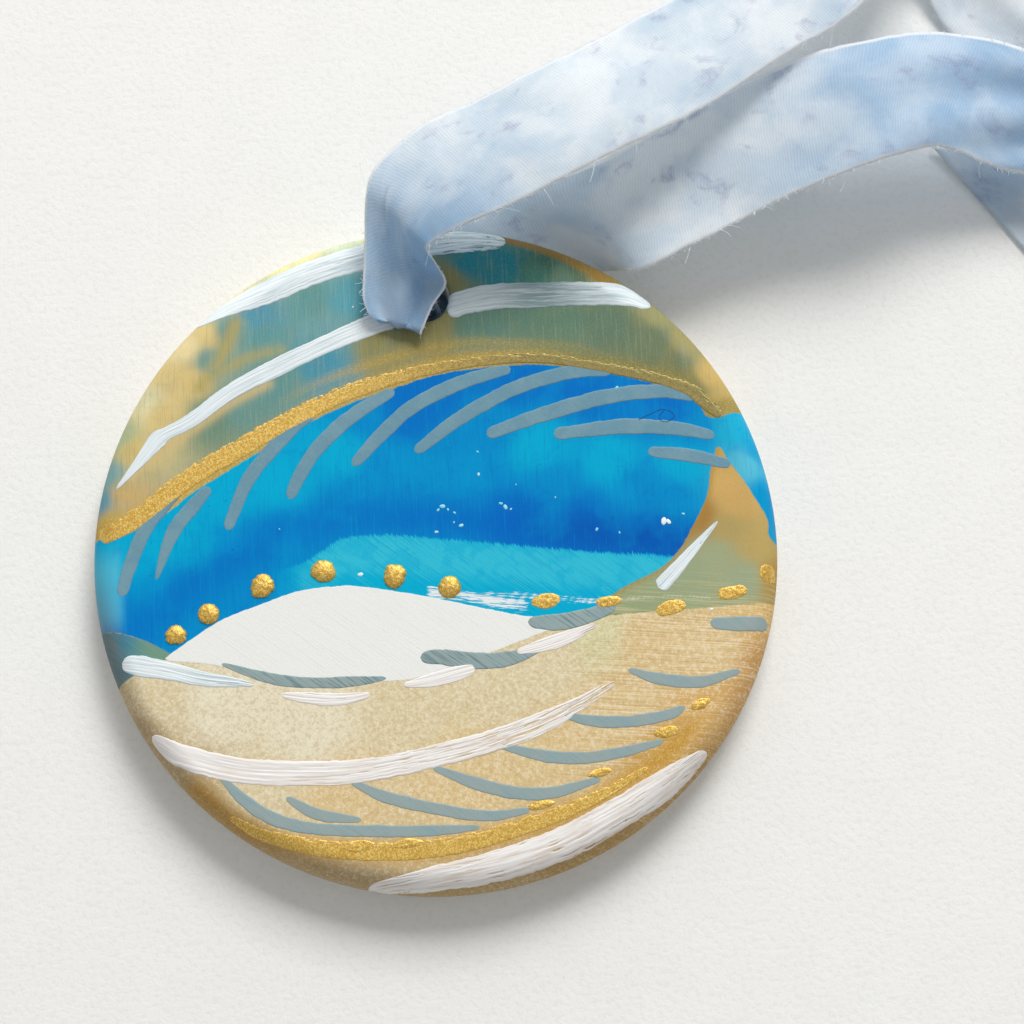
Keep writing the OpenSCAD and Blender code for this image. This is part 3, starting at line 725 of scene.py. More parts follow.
# ------------------------------
# Brush strokes. A stroke is a list of (x, y, width) on the disc's face, as in the CAD part, but
# the white stroke that the hole cuts in two is two strokes here. White strokes also say how dry
# the brush is at the start and at the end.
# ------------------------------
WHITE_STROKES = [
    (0.0, 0.7, [(-26, 27.4, 0.4), (-22, 29.3, 2), (-17, 31.2, 3), (-12.5, 33, 3), (-6.5, 34.5, 3),
     (0.5, 35.6, 2.8), (4.5, 36, 3), (7.5, 35.9, 2.6), (9.6, 35.5, 1.4)]),
    (0.0, 0.15, [(-35.2, 8.6, 0.3), (-32.6, 11.6, 1.2), (-30.6, 14, 2), (-29.4, 14.8, 1.5),
     (-26.6, 16.2, 1.7), (-22, 19.4, 1.8), (-16, 22.3, 2.2), (-11.4, 24.3, 2.1), (-6, 26.4, 2.4),
     (-3.3, 27.1, 2.4)]),
    (0.1, 0.35, [(2.3, 28.0, 2.9), (7.2, 29, 3), (13, 29, 3), (19.5, 28.8, 2.8), (22.6, 28.5, 2.7),
     (25.6, 27.1, 1)]),
    (0.5, 0.0, [(31.5, 1.6, 0.3), (28.2, -1.9, 1.2), (25.2, -5, 1.7), (24.4, -5.7, 1.5)]),
    (0.0, 0.5, [(-34.9, -11.1, 1.5), (-32.8, -11.6, 2.3), (-29.5, -12.4, 2), (-26, -13.4, 1.6),
     (-22.3, -14, 1), (-20.5, -14.4, 0.4)]),
    (0.2, 0.35, [(-17.5, -15.6, 0.6), (-14.5, -16.1, 1.3), (-11, -16.4, 1.4), (-7.8, -16, 0.6)]),
    (0.0, 0.2, [(-4.2, -15.2, 0.5), (-1.2, -14.8, 1.5), (1.6, -14.2, 1.7), (3.8, -13.7, 1)]),
    (0.1, 0.5, [(8.4, -12.1, 0.6), (11, -11.6, 1.4), (13.6, -10.9, 1.6), (16, -10, 1),
     (17.4, -9.4, 0.4)]),
    (0.1, 0.82, [(-31.8, -19.3, 0.8), (-28.6, -21.7, 2.4), (-23.2, -23.5, 2.8), (-18, -24.2, 2.8),
     (-11.5, -24.5, 2.7), (-7, -24.2, 2.6), (-1, -23.2, 2.5), (5, -21.9, 2.5), (10.6, -20.2, 2.4),
     (15, -18.2, 1.6), (19, -16, 0.8)]),
    (0.45, 0.5, [(-9, -37, 0.8), (-2, -36.4, 2.4), (5.5, -35.3, 3.2), (12, -33.4, 3.4),
     (18.8, -30.2, 3.2), (24, -27.2, 2.8), (28.5, -24, 0.9)])]
GOLD_BANDS = [
    [(-37.2, 3.2, 2), (-34.4, 4.4, 2.2), (-31.6, 6.2, 2.3), (-28.7, 8.4, 2.3), (-25.4, 10.6, 2.3),
     (-22.2, 12.2, 2.3), (-18.2, 14.4, 2.2), (-14.4, 16.3, 2.1), (-9.8, 18.3, 2), (-5, 19.7, 1.7),
     (0.6, 20.9, 1.4), (6.7, 21.5, 1.2), (12.8, 21.5, 1.2), (18.4, 20.4, 1.2), (22.4, 19.4, 1.3),
     (26, 18.4, 1.4), (29.4, 16.9, 1.6), (31.8, 14.6, 1.5), (32.9, 13.6, 0.9)],
    [(-23.5, -28.6, 0.6), (-20, -30.7, 1.2), (-14, -32.5, 1.8), (-7, -33.3, 2), (1.2, -32.9, 2),
     (10, -30.8, 1.8), (16.6, -28.4, 1.4), (22, -25.6, 0.5)]]
GREY_STROKES = [
    [(-27, 9.5, 0.8), (-29.8, 6.7, 1.5), (-32.1, 3.8, 1.5), (-33.6, 0.4, 1.4), (-34.9, -3.7, 1)],
    [(-24.8, 8.3, 0.8), (-27.1, 5.8, 1.5), (-29.2, 2.9, 1.4), (-31, -2, 0.4)],
    [(-13, 16.2, 0.8), (-15.2, 14.8, 1.4), (-18, 12, 1.5), (-20.7, 8.6, 1.4), (-23, 3.3, 0.8)],
    [(-3.8, 18.5, 0.8), (-8.3, 16, 1.5), (-12.4, 12.5, 1.5), (-14.7, 9.2, 1.4), (-16, 6.5, 1)],
    [(9.4, 20.4, 0.8), (4.5, 19.3, 1.5), (-1, 17, 1.5), (-5, 13.9, 1.5), (-8.8, 10, 0.9)],
    [(20.8, 19.6, 0.8), (15.8, 19.6, 1.5), (9.6, 18, 1.5), (3.4, 14.9, 1.5), (-1.8, 11.2, 1.1)],
    [(30, 16, 0.8), (26.1, 16.9, 1.5), (20.2, 16.6, 1.6), (12.5, 14.8, 1.6), (6.3, 12.8, 1.2)],
    [(31.8, 11.4, 0.8), (27.4, 12.5, 1.5), (21.4, 13, 1.6), (13.8, 12.5, 1.3)],
    [(33.4, 8, 0.8), (28.7, 9.3, 1.4), (24.2, 10, 1)],
    [(-24, -11.8, 0.4), (-19, -13.6, 1.1), (-14.4, -14.4, 1.1), (-10, -14.5, 1), (-6, -14.3, 0.4)],
    [(-2.2, -12.2, 1.2), (0.5, -12.3, 1.6), (4.3, -12.9, 1.7), (7.5, -12.8, 1.5), (10, -12.1, 1),
     (11.3, -11.7, 0.5)],
    [(9.8, -8.8, 1), (13.3, -9, 1.7), (16.6, -8.4, 1.5), (19.6, -7.4, 0.9)],
    [(29.8, -9.9, 1.1), (33, -10.2, 1.5), (36.2, -10.2, 1.5)],
    [(-24.4, -24.3, 0.6), (-21.9, -27, 1.2), (-18.7, -29.2, 1.3), (-14, -30.5, 1.2), (-7, -31.1, 1.2),
     (-1.5, -31.3, 1), (3.5, -31.2, 0.5)],
    [(-17.4, -26.9, 0.6), (-14, -28.9, 1.2), (-9.3, -29.8, 0.6)],
    [(-10.3, -25.5, 0.6), (-6.8, -27.3, 1.2), (-1.4, -28.9, 1.2), (4.2, -30, 1.1), (9, -29.6, 0.6)],
    [(-1.4, -24.4, 0.6), (3, -26.3, 1.3), (7.3, -27.6, 1.3), (11.6, -27.8, 1.2), (16.8, -26.6, 0.6)],
    [(5.8, -22.3, 0.6), (10.5, -23.7, 1.2), (14.8, -24.2, 1.2), (19.2, -23.8, 1.1), (23.9, -22.8, 0.6)],
    [(13, -19.3, 0.6), (16.4, -20.2, 1.2), (20.8, -20.4, 1.2), (24.7, -19.9, 1), (26.5, -19.1, 0.6)],
    [(20.5, -14.7, 0.6), (24, -15.9, 1.2), (28.4, -16.4, 1.2), (32.8, -15.4, 0.6)]]
RAISED_DOTS = [
    (-28.9, -8.3, 1.2), (-25.3, -6.2, 1.3), (-19.2, -3.3, 1.4), (-12.5, -1.9, 1.4), (-4.6, -2.9, 1.4),
    (1.4, -4.3, 1.3)]
# Flat dabs of the same gold: x, y, half length, half width, turn in degrees
GOLD_DABS = [
    (11.9, -6.6, 1.6, 0.9, 4), (18.9, -6.9, 1.4, 0.6, 6), (25.6, -8, 1.7, 0.8, 12),
    (32.6, -6.6, 1.7, 0.8, 8), (36.6, -4.6, 0.9, 1.1, 0), (28.2, -18.9, 1.2, 0.6, 20),
    (24.2, -21.8, 1.5, 0.6, 8), (16.8, -25.9, 1.5, 0.5, 12), (10.2, -29.1, 1.5, 0.5, 8),
    (-4.4, -32.6, 1.8, 0.6, 4), (-9.7, -32.6, 1.8, 0.7, 2)]
# Flecks of thin turquoise and white paint: x, y, radius, how white
FLECKS = [
    (1, 4.8, 0.32, 0.2), (0.5, 4.4, 0.2, 0.2), (1.6, 4.4, 0.16, 0.3), (2.3, 4, 0.17, 0.2),
    (3, 2.5, 0.26, 0.3), (2.2, 2.9, 0.13, 0.3), (8, 4.4, 0.3, 0.3), (7.5, 4.8, 0.22, 0.1),
    (8.6, 4.1, 0.14, 0.3), (5.2, 8.3, 0.2, 0.6), (5.2, 10.9, 0.14, 0.3), (-8.4, -2.5, 0.3, 0.9),
    (18, 1.3, 0.2, 0.2), (20.5, 0.8, 0.16, 0.2), (27.7, 2.6, 0.17, 0.3), (21.2, 17.6, 0.2, 0.3),
    (25.5, 1.9, 0.42, 1), (26, 1.8, 0.3, 1), (0.2, 1.9, 0.2, 0.5), (13.6, 5.2, 0.12, 0.3),
    (9.3, 6.9, 0.1, 0.3), (-17.2, 3.1, 0.12, 0.2), (30.1, -8.4, 0.2, 1), (-8.1, 28.6, 0.12, 1)]
HAIR = [
    (23.4, 13.7), (24.7, 14.3), (26.1, 14.8), (27.2, 14.4), (27.3, 13.7), (26.3, 13.3), (25.7, 13.9),
    (26.3, 14.6)]


def on_disc(x, y, lift):
    """Where points of the flat painting lie in space, `lift` mm off the ceramic: on the face,
    round the rim, or down the hole's soft edge."""
    reach = np.hypot(x, y)
    bend = np.arcsin(np.clip((reach - FLAT_R) / RIM_R, 0, 0.998))
    scale = np.where(reach > FLAT_R, (FLAT_R + (RIM_R + lift) * np.sin(bend)) / np.maximum(reach, 1), 1)
    from_hole = np.hypot(x, y - HOLE_Y)
    clear = np.maximum(from_hole, HOLE_R + 0.05) / np.maximum(from_hole, 0.01)
    dip = np.clip((HOLE_R + HOLE_ROUND - from_hole) / HOLE_ROUND, 0, 0.99)
    z = RIM_Z + (RIM_R + lift) * np.cos(bend) - HOLE_ROUND * (1 - np.sqrt(1 - dip ** 2))
    return np.stack([x * scale * clear, HOLE_Y + (y * scale - HOLE_Y) * clear, z], -1)


def brush_stroke(line, height, cols, seed, dry=(0, 0), bristles=0.0, round_ends=0.6, ragged=0.08,
                 speckled=0.0):
    """A stroke as a film of paint with ridges left by bristles. Where the brush ran dry it is thin
    and broken. Returns points, faces and fields: along, across (-1 to 1) and thick (0 to 1)."""
    path = smooth_line(line, 0.22) * ART
    along = length_along(path[:, :2])[:, None]
    heading = unit(np.gradient(path[:, :2], axis=0))
    side = np.stack([-heading[:, 1], heading[:, 0]], 1)
    across = np.linspace(-1, 1, cols)[None, :]
    half = np.maximum(path[:, 2:3], 0.3) / 2
    to_end = np.minimum(along, along[-1] - along)
    blunt = np.sqrt(1 - np.clip(1 - to_end / (round_ends * half.max() + 1e-6), 0, 1) ** 2)
    half = half * blunt * (1 + ragged * grain(along + 0 * across, np.sign(across) * 3, 1.1, seed)
                           + ragged * grain(along + 0 * across, np.sign(across) * 5, 0.4, seed + 1))
    x = path[:, 0:1] + side[:, 0:1] * across * half
    y = path[:, 1:2] + side[:, 1:2] * across * half
    lane = across * path[:, 2:3] * 3.2
    ridges = 0.5 * grain(lane, along / 9, 1, seed + 2) + 0.3 * grain(lane, along / 5, 0.45, seed + 3)
    dryness = dry[0] + (dry[1] - dry[0]) * along / along[-1]
    patchy = (0.55 * grain(lane * 1.6, along / 3.5, 1, seed + 4)
              + 0.5 * grain(lane * 3, along / 1.6, 1, seed + 5))
    bare = ramp(patchy, 1.02 - 1.25 * dryness, 1.2 - 1.25 * dryness)
    crown = (1 - np.abs(across) ** 8) * (1 + 0.35 * np.abs(across) ** 5 * (bristles > 0))
    thick = np.clip(crown * (1 - bristles * 0.5 + bristles * ridges), 0, 1.3) * (1 - 1.25 * bare)
    thick = thick * np.minimum(1, 0.25 + to_end / 0.5)
    frayed = grain(x, y, 0.3, seed + 6) * 0.5 + grain(x, y, 0.13, seed + 7) * 0.5
    thick = thick - speckled * 2.2 * ramp(0.8 * frayed + across, 0.72, 1.2)
    lift = COAT_T + np.maximum(height * thick, -0.04)
    points, faces = film(on_disc(x, y, lift), on_disc(x, y, COAT_T - ROOT + 0 * lift))
    full = np.broadcast_to
    return points, faces, {
        "along": both_sides(full(along, x.shape)), "across": both_sides(full(across, x.shape)),
        "thick": both_sides(thick), "dry": both_sides(full(dryness, x.shape))}


def dab(x, y, long, wide, turn, height, seed, crinkle=0.2, flat=0.5, cells=22):
    """A drop of paint: an irregular dome on the face."""
    u, v = np.meshgrid(np.linspace(-1, 1, cells), np.linspace(-1, 1, cells), indexing="ij")
    a, b = u * np.sqrt(1 - v * v / 2), v * np.sqrt(1 - u * u / 2)
    reach, angle = np.hypot(a, b), np.arctan2(b, a)
    wobble = 1 + 0.13 * grain(np.cos(angle) * 1.3, np.sin(angle) * 1.3, 1, seed)
    wobble += 0.06 * grain(np.cos(angle) * 4, np.sin(angle) * 4, 1, seed + 9)
    a, b = a * long * wobble * ART, b * wide * wobble * ART
    c, s = math.cos(math.radians(turn)), math.sin(math.radians(turn))
    px, py = x * ART + a * c - b * s, y * ART + a * s + b * c
    dome = np.clip(1 - reach ** 2, 0, 1) ** flat
    folds = grain(px, py, 0.42, seed) * 0.6 + grain(px, py, 0.2, seed + 1) * 0.4
    lift = COAT_T - 0.04 + height * dome * (1 + crinkle * folds)
    points, faces = film(on_disc(px, py, lift), on_disc(px, py, COAT_T - DAB_ROOT + 0 * lift))
    return points, faces, {}


def white_finish():
    f = Finish("white_paint", rough=0.45, specular=0.3)
    place = f.add("CombineXYZ", {0: f.math("DIVIDE", f.field("along"), 7.0),
                                 1: f.times(f.field("across"), 4.0)})
    bristle = f.noise(1.0, detail=5, rough=0.7, place=place)
    warm = f.field("warm")
    shade = f.mix(warm, 0xB0C4CA, 0xDCCEC0)
    dry = f.math("MULTIPLY_ADD", f.field("dry"), 1.1, 0.35)
    thin = f.step(f.field("thick"), 0.1, 0.7, 1.0, 0.0)
    # the last layer is painted shadow: the ribbon's shadow greys one white stroke
    tone = f.layers(
        f.mix(warm, 0xE6EDEF, 0xF0EDEA),
        (f.step(bristle, 0.46, 0.62), dry, shade),
        (thin, 0.5, shade),
        (f.field("ribbon_shadow"), f.step(bristle, 0.36, 0.58, 0.55, 1.0), 0x788E92))
    return f.finish(tone, normal=f.bump(bristle, 0.03, 0.6))


def grey_finish():
    f = Finish("grey_paint", rough=0.5, specular=0.2)
    grit = f.noise(0.25, detail=3, rough=0.7)
    cloud = f.noise(2.4, detail=3)
    slanted = f.noise((0.16, 5, 5), detail=3, rough=0.6, turn=-52)
    tone = f.mix(f.field("on_sand"), 0x6892A4, 0x96A6A4)
    tone = f.layers(
        f.mix(f.step(cloud, 0.4, 0.65, 0.0, 0.35), tone, 0x80A2AC),
        (f.step(slanted, 0.5, 0.64), f.field("streaky"), 0x607C82))
    tone = f.mix(f.step(grit, 0.5, 0.75, 0.0, 0.2), tone, 0xACB8B6)
    return f.finish(tone, normal=f.bump(grit, 0.02, 0.6))


def gold_finish(name, flake, crinkle, relief, metal):
    """Metallic acrylic: fine flakes, each tilted its own way."""
    f = Finish(name, rough=0.38, metal=metal)
    flakes = f.flakes(flake)
    grit = f.noise(flake * 1.6, detail=3, rough=0.7)
    tone = f.mix(f.step(flakes, 0.3, 0.8), 0xD0A442, 0xF0CE74)
    tone = f.mix(f.step(grit, 0.35, 0.6, 0.35, 0.0), tone, 0xB28432)
    # painted shadow: where the ribbon's shadow falls, the gold is darkened towards olive
    tone = f.mix(f.field("ribbon_shadow_on_gold"), tone, f.mix(flakes, 0x706A3E, 0x92844C))
    normal = f.bump(flakes, relief, 0.5)
    normal = f.bump(grit, crinkle, 0.8, normal)
    rough = f.step(grit, 0.3, 0.7, 0.34, 0.52)
    return f.finish(tone, rough=rough, normal=normal)


def fleck_finish():
    f = Finish("fleck_paint", rough=0.45)
    tone = f.mix(f.field("whiteness"), 0x40CEE2, 0xF4F6F6)
    return f.finish(f.layers(tone, (f.noise(0.1), 0.3, 0x96D2E1)))


# Which strokes of the lists look their own way, and where along it the ribbon's painted shadow on one
# white stroke is darkest
SHADOWED_WHITE, SHADOW_X, FIRST_WARM = 2, 13.5, 5
FIRST_ON_SAND, BY_THE_LENS = 9, range(9, 12)


def make_strokes():
    whites = []
    for i, (start, end, line) in enumerate(WHITE_STROKES):
        points, faces, fields = brush_stroke(line, 0.08, 40, 11 * i + 3, (start, end), bristles=0.6,
                                             ragged=0.045)
        fields["warm"] = np.full(len(points), 1.0 if i >= FIRST_WARM else 0.0)
        # painted shadow of the ribbon on one white stroke, darkest at x = 13.5 mm
        ribbon_shadow = np.exp(-((points[:, 0] - SHADOW_X) / 7) ** 2)
        fields["ribbon_shadow"] = ribbon_shadow if i == SHADOWED_WHITE else 0 * ribbon_shadow
        whites.append((points, faces, fields))
    obj = mesh_piece("white_brush_strokes", joined(whites), "disc", white_finish())
    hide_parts("white_strokes")

    greys = []
    for i, line in enumerate(GREY_STROKES):
        # a little wider than in the CAD part, and full from a width of 0.8 mm on
        line = [(x, y, max(1.1 * w, 1.2) if w >= 0.8 else 1.1 * w) for x, y, w in line]
        points, faces, fields = brush_stroke(line, 0.022, 16, 7 * i + 1, (0.0, 0.12), bristles=0.0,
                                             round_ends=1.0, ragged=0.06)
        fields["on_sand"] = np.full(len(points), 1.0 if i >= FIRST_ON_SAND else 0.0)
        fields["streaky"] = np.full(len(points), 0.8 if i in BY_THE_LENS else 0.15)
        greys.append((points, faces, fields))
    obj = mesh_piece("grey_brush_strokes", joined(greys), "disc", grey_finish())
    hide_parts("grey_strokes")

    golds = [brush_stroke(line, 0.035, 30, 5 * i + 2, (0.0, 0.1 + 0.3 * i), bristles=0.1, ragged=0.05,
                          speckled=1.0) for i, line in enumerate(GOLD_BANDS)]
    points, faces, fields = joined(golds)
    # painted shadow of the ribbon over the right part of the upper gold band
    fields["ribbon_shadow_on_gold"] = 0.92 * ramp(points[:, 0], -16, 16) * ramp(points[:, 1], -4, 4)
    obj = mesh_piece("gold_brush_bands", (points, faces, fields), "disc",
                     gold_finish("gold_paint", 0.14, 0.012, 0.012, 0.35))
    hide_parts("gold_bands")


def make_dots():
    drops = [dab(x, y, r, r * (0.94 + 0.05 * (i % 2)), 20 * i, 0.36 * r, i, crinkle=0.14)
             for i, (x, y, r) in enumerate(RAISED_DOTS)]
    drops += [dab(x, y, long, wide, turn, 0.12, 40 + i, crinkle=0.4, flat=0.3)
              for i, (x, y, long, wide, turn) in enumerate(GOLD_DABS)]
    obj = mesh_piece("gold_paint_dots", joined(drops), "disc",
                     gold_finish("gold_dot_paint", 0.15, 0.06, 0.035, 0.5))
    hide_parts("gold_dots")

    flecks = []
    for i, (x, y, r, white) in enumerate(FLECKS):
        points, faces, _ = dab(x, y, r * 1.2, r * 0.8, 50 * i, 0.10, 80 + i, 0.3, 0.4, cells=9)
        flecks.append((points, faces, {"whiteness": np.full(len(points), white)}))
    mesh_piece("paint_flecks", joined(flecks), "disc", fleck_finish())
    curl = smooth_line(HAIR, 0.25)
    hair = tube(on_disc(curl[:, 0], curl[:, 1], COAT_T + 0.02), 0.038)
    mesh_piece("brush_hair", hair, "disc", Finish("brush_hair").finish(0x0C5496))


# ------------------------------
# The silk ribbon. A ring is its outer edge and its inner edge, in mm from the hole's axis, and
# repeats the CAD part's. It runs from the knot round the far turn, over the disc, through the
# hole, back out under the disc and to the knot.
# ------------------------------
KNOT_AT, KNOT_TURN, KNOT_L = np.array([88.0, 9, 4]), math.radians(-35), 8.0   # from the hole too
KNOT_DIR = np.array([math.cos(KNOT_TURN), math.sin(KNOT_TURN), 0])
KNOT_SIDE = np.array([-math.sin(KNOT_TURN), math.cos(KNOT_TURN), 0])
UP = np.array([0.0, 0, 1])


def knot_exit(way, half, up, deep=1.0):
    """Two rings where the ribbon leaves the knot; way is 1 or -1 along its axis."""
    end = KNOT_AT + way * KNOT_DIR * (KNOT_L / 2 - deep) + up * UP
    middles = [end + way * KNOT_DIR * step for step in (0, 2 + deep)]
    return [[middle + KNOT_SIDE * half, middle - KNOT_SIDE * half] for middle in middles]


LOOP_RINGS = [
    *knot_exit(-1, 2.2, -0.7),
    [[82, 25.5, 1.4], [73.5, 19, 0.9]],
    [[78.5, 34, 1.2], [68.5, 25.5, 0.7]],
    [[73.5, 41.5, 1.6], [63, 32, 0.7]],
    [[71.5, 46.8, 3], [60.5, 37.5, 2]],
    [[70, 51.5, 4.6], [59.5, 41, 4.4]],
    [[66.5, 55.5, 6.5], [60, 42.8, 6.5]],
    [[61, 55.5, 7.2], [59.5, 42, 7.8]],
    [[54.1, 51.7, 7.5], [57.4, 38.4, 9]],
    [[46.5, 44.3, 7.5], [51.4, 31.2, 9.5]],
    [[36.4, 37.6, 8], [42.1, 25.2, 10.5]],
    [[26.1, 31.3, 9.5], [31.7, 18, 13]],
    [[14.5, 25, 11.3], [20.6, 12.2, 15.2]],
    [[6.5, 21, 11.5], [12, 8, 15.3]],
    [[0, 18, 11.5], [5, 5.2, 14.6]],
    [[-4.5, 14.2, 11.6], [1.6, 4, 13.6]],
    [[-5.7, 11.5, 11.4], [0.7, 3.3, 12.9]],
    [[-6, 9.8, 10.6], [1.1, 2.7, 11.9]],
    [[-6.4, 6, 9], [1.8, 2, 10]],
    [[-6.7, 2.3, 8.2], [2.6, 0.6, 8.6]],
    [[-6.8, -0.6, 7.9], [1, -1.7, 8.1]],
    [[-6, -2.6, 7.4], [-0.6, -5, 7.5]],
    [[-4.6, -3, 7], [-0.4, -3.9, 7]],
    [[-2.4, -0.6, 6.9], [0.5, -0.9, 6.9]],
    [[-2.1, 0.4, 5.2], [0.8, 0.6, 5.2]],
    [[-1.8, 0.9, 2.8], [1.8, -0.9, 2.8]],
    [[-1.1, 1.7, 1], [1.1, -1.7, 1]],
    [[0.6, 2.2, 0.13], [2.6, -1.4, 0.13]],
    [[1.8, 8.8, 0.12], [10, -0.8, 0.12]],
    [[7.5, 14, 0.12], [19.3, 3.8, 0.12]],
    [[19, 16, 2.3], [25, 2, 6.3]],
    [[26.4, 18.8, 4], [31.3, 4.4, 7.8]],
    [[35.5, 22.8, 6], [40.3, 8.3, 9]],
    [[44.1, 25.8, 8], [48.4, 11, 10.5]],
    [[52.3, 27.3, 9], [53.7, 12.4, 11]],
    [[61, 28, 9], [59.5, 13.7, 9.5]],
    [[70.5, 25.6, 8.5], [67, 12, 6]],
    [[77, 20.5, 6.5], [74.5, 11, 5.2]],
    *reversed(knot_exit(-1, 2.2, 1.1)),
]
SHORT_TAIL_RINGS = [
    *knot_exit(1, 2.2, 0), [[97.5, 8.5, 1.8], [94.5, -1, 1.4]], [[101, 8, 0.3], [104, -11, 0.3]]]
LONG_TAIL_RINGS = [
    *knot_exit(-1, 1.4, -2), [[75, 16.5, 0.2], [77, 2.5, 0.2]], [[69, 17, 0.2], [75, 1.5, 0.2]],
    [[60, 17.4, 0.6], [72, 1, 0.2]]]
# How the cloth bends across its width: ring, bow of the whole width, height of the pleats (mm)
# and the number of pleats. It is worked out between the rings that are named.
LOOP_FOLDS = [
    (0, 0, 0.5, 3), (1, 0, 0.5, 3), (3, 0.5, 0.5, 2), (6, 0.8, 0.2, 1.5), (9, 0.5, 0, 1),
    (12, -0.7, 0.15, 1), (14, -0.7, 0.1, 1), (16, -0.4, 0.1, 1), (18, 0, 0.3, 1), (20, 0.4, 0.75, 1.5),
    (21, 0.5, 0.7, 1.5), (22, 0.3, 0.2, 1.5), (23, 0, 0.3, 2), (24, 0, 0.6, 3), (26, 0, 0.55, 3),
    (27, 0, 0.25, 3), (28, 0, 0, 2), (30, 0, 0, 1), (32, 0.5, 0.2, 1), (34, 0.8, 0.1, 1),
    (36, 0.8, 0.3, 1.5), (38, 0, 0.5, 3), (39, 0, 0.5, 3)]
TAIL_FOLDS = [(0, 0, 0.4, 3), (1, 0, 0.4, 3), (2, 0.2, 0.2, 1.5), (4, 0.1, 0, 1)]


def cloth_sheet(rings, folds, seed, spacing=0.7, cols=30):
    """The ribbon's middle surface as a grid of points, with how far along and across the cloth
    each point is and the surface's normals."""
    edges = np.array([[*outer, *inner] for outer, inner in rings], float)
    rows = np.arange(len(edges), dtype=float)[:, None]
    line = curve_through(np.hstack([edges, rows]), 20)
    run = length_along((line[:, 0:3] + line[:, 3:6]) / 2)
    at = np.linspace(0, run[-1], int(run[-1] / spacing) + 1)
    line = rows_at(at, run, line)
    outer, inner, ring = line[:, None, 0:3], line[:, None, 3:6], line[:, 6]
    ring_at, *shape = zip(*folds)
    bow, pleat, count = (np.interp(ring, ring_at, values)[:, None] for values in shape)
    v = np.linspace(0, 1, cols)[None, :]
    u = at[:, None]
    torn = 0.12 * grain(u + 0 * v, 0 * u + v, 2.3, seed) + 0.07 * grain(u + 0 * v, v * 3, 0.8, seed + 1)
    chord = inner - outer
    middle_line = (outer + inner)[:, 0] / 2
    ahead = unit(np.gradient(middle_line, axis=0))[:, None]
    normal = unit(np.cross(chord, ahead))
    edge = np.abs(2 * v - 1) ** 6 * np.sign(2 * v - 1)
    grid = outer + chord * (v + torn * edge / SILK_W)[..., None]
    swell = bow * (1 - (2 * v - 1) ** 2)
    swell = swell + pleat * np.sin(2 * np.pi * count * (v - 0.04)) * np.sin(np.pi * v).clip(0) ** 0.3
    loose = np.clip(np.linalg.norm(chord, axis=-1) / 10 - 0.3, 0, 1)
    swell = swell + loose * (0.22 * grain(u, v * 14, 6.5, seed + 2)
                             + 0.10 * grain(u, v * 14, 2.8, seed + 3))
    return grid, swell, normal, u + 0 * v, (v - 0.5) * SILK_W + 0 * u


TABLE_GAP, BACK_GAP = 0.03, 0.04   # between the cloth and the table, and the disc's back
SETTLE = 0.6                       # the height from which the cloth eases down onto the table
FLAT_REACH = (14, 17)              # under the disc the cloth is flat this near the hole, to swing
SECOND_RUN = (131, 139)            # how far along the loop its dip-dyed second run starts


def above_table(grid):
    """Keeps the cloth's underside a hair above the table."""
    lowest = SILK_T / 2 + TABLE_GAP
    low = grid[..., 2] < lowest + SETTLE
    eased = lowest + SETTLE * np.exp((grid[..., 2] - lowest - SETTLE) / SETTLE)
    grid[..., 2] = np.where(low, eased, grid[..., 2])
    return grid


def under_disc(grid):
    """Keeps the cloth in the gap between the table and the disc's back, also when it swings."""
    reach = np.linalg.norm(grid[..., :2] + HOLE_AT[:2], axis=-1)
    from_hole = np.linalg.norm(grid[..., :2], axis=-1)
    beneath = (reach < DISC_R - 0.2) | (from_hole < FLAT_REACH[1])
    beneath &= (grid[..., 2] < RIM_Z) & (from_hole > HOLE_R)
    out = np.clip((reach - FLAT_R) / RIM_R, 0, 1) * ramp(from_hole, *FLAT_REACH)
    roof = RIM_Z - RIM_R * np.sqrt(1 - out ** 2) - SILK_T / 2 - BACK_GAP
    grid[..., 2] = np.where(beneath, np.minimum(grid[..., 2], roof), grid[..., 2])
    return grid


def cloth_piece(name, rings, folds, seed, replaced):
    """A stretch of the ribbon, deeper blue by the hole as painted shade on the bunch there and dyed
    deeper on its second run; returns the piece with its middle surface and which way that faces."""
    grid, swell, normal, u, v = cloth_sheet(rings, folds, seed)
    grid = under_disc(above_table(grid + normal * swell[..., None]))
    du, dv = np.gradient(grid, axis=0), np.gradient(grid, axis=1)
    facing = unit(np.cross(dv, du))
    top, under = grid + facing * SILK_T / 2 + HOLE_AT, grid - facing * SILK_T / 2 + HOLE_AT
    points, faces = film(top, under)
    by_hole = np.linalg.norm(grid[..., :2], axis=-1)
    # painted shade: deeper blue within about 12 mm of the hole, where the bunch folds into it in shade
    hole_shade_and_dye = 0.7 * np.exp(-(by_hole / 12) ** 2)
    hole_shade_and_dye = hole_shade_and_dye + 0.5 * ramp(u, *SECOND_RUN) * ramp(grid[..., 0], 32, 58)
    fields = {"cloth_u": both_sides(u), "cloth_v": both_sides(v), "hole_shade_and_dye": both_sides(hole_shade_and_dye)}
    obj = mesh_piece(name, (points, faces, fields), "ribbon", SILK)
    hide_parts(replaced)
    return obj, grid + HOLE_AT, facing


def silk_base(name):
    f = Finish(name, rough=0.6, specular=0.25, sheen=0.3)
    f.shader.inputs["Sheen Roughness"].default_value = 0.35
    return f


def thread_finish():
    f = silk_base("silk_thread")
    return f.finish(f.mix(f.noise(1.5), 0xE0EBF4, 0xF8FBFD))


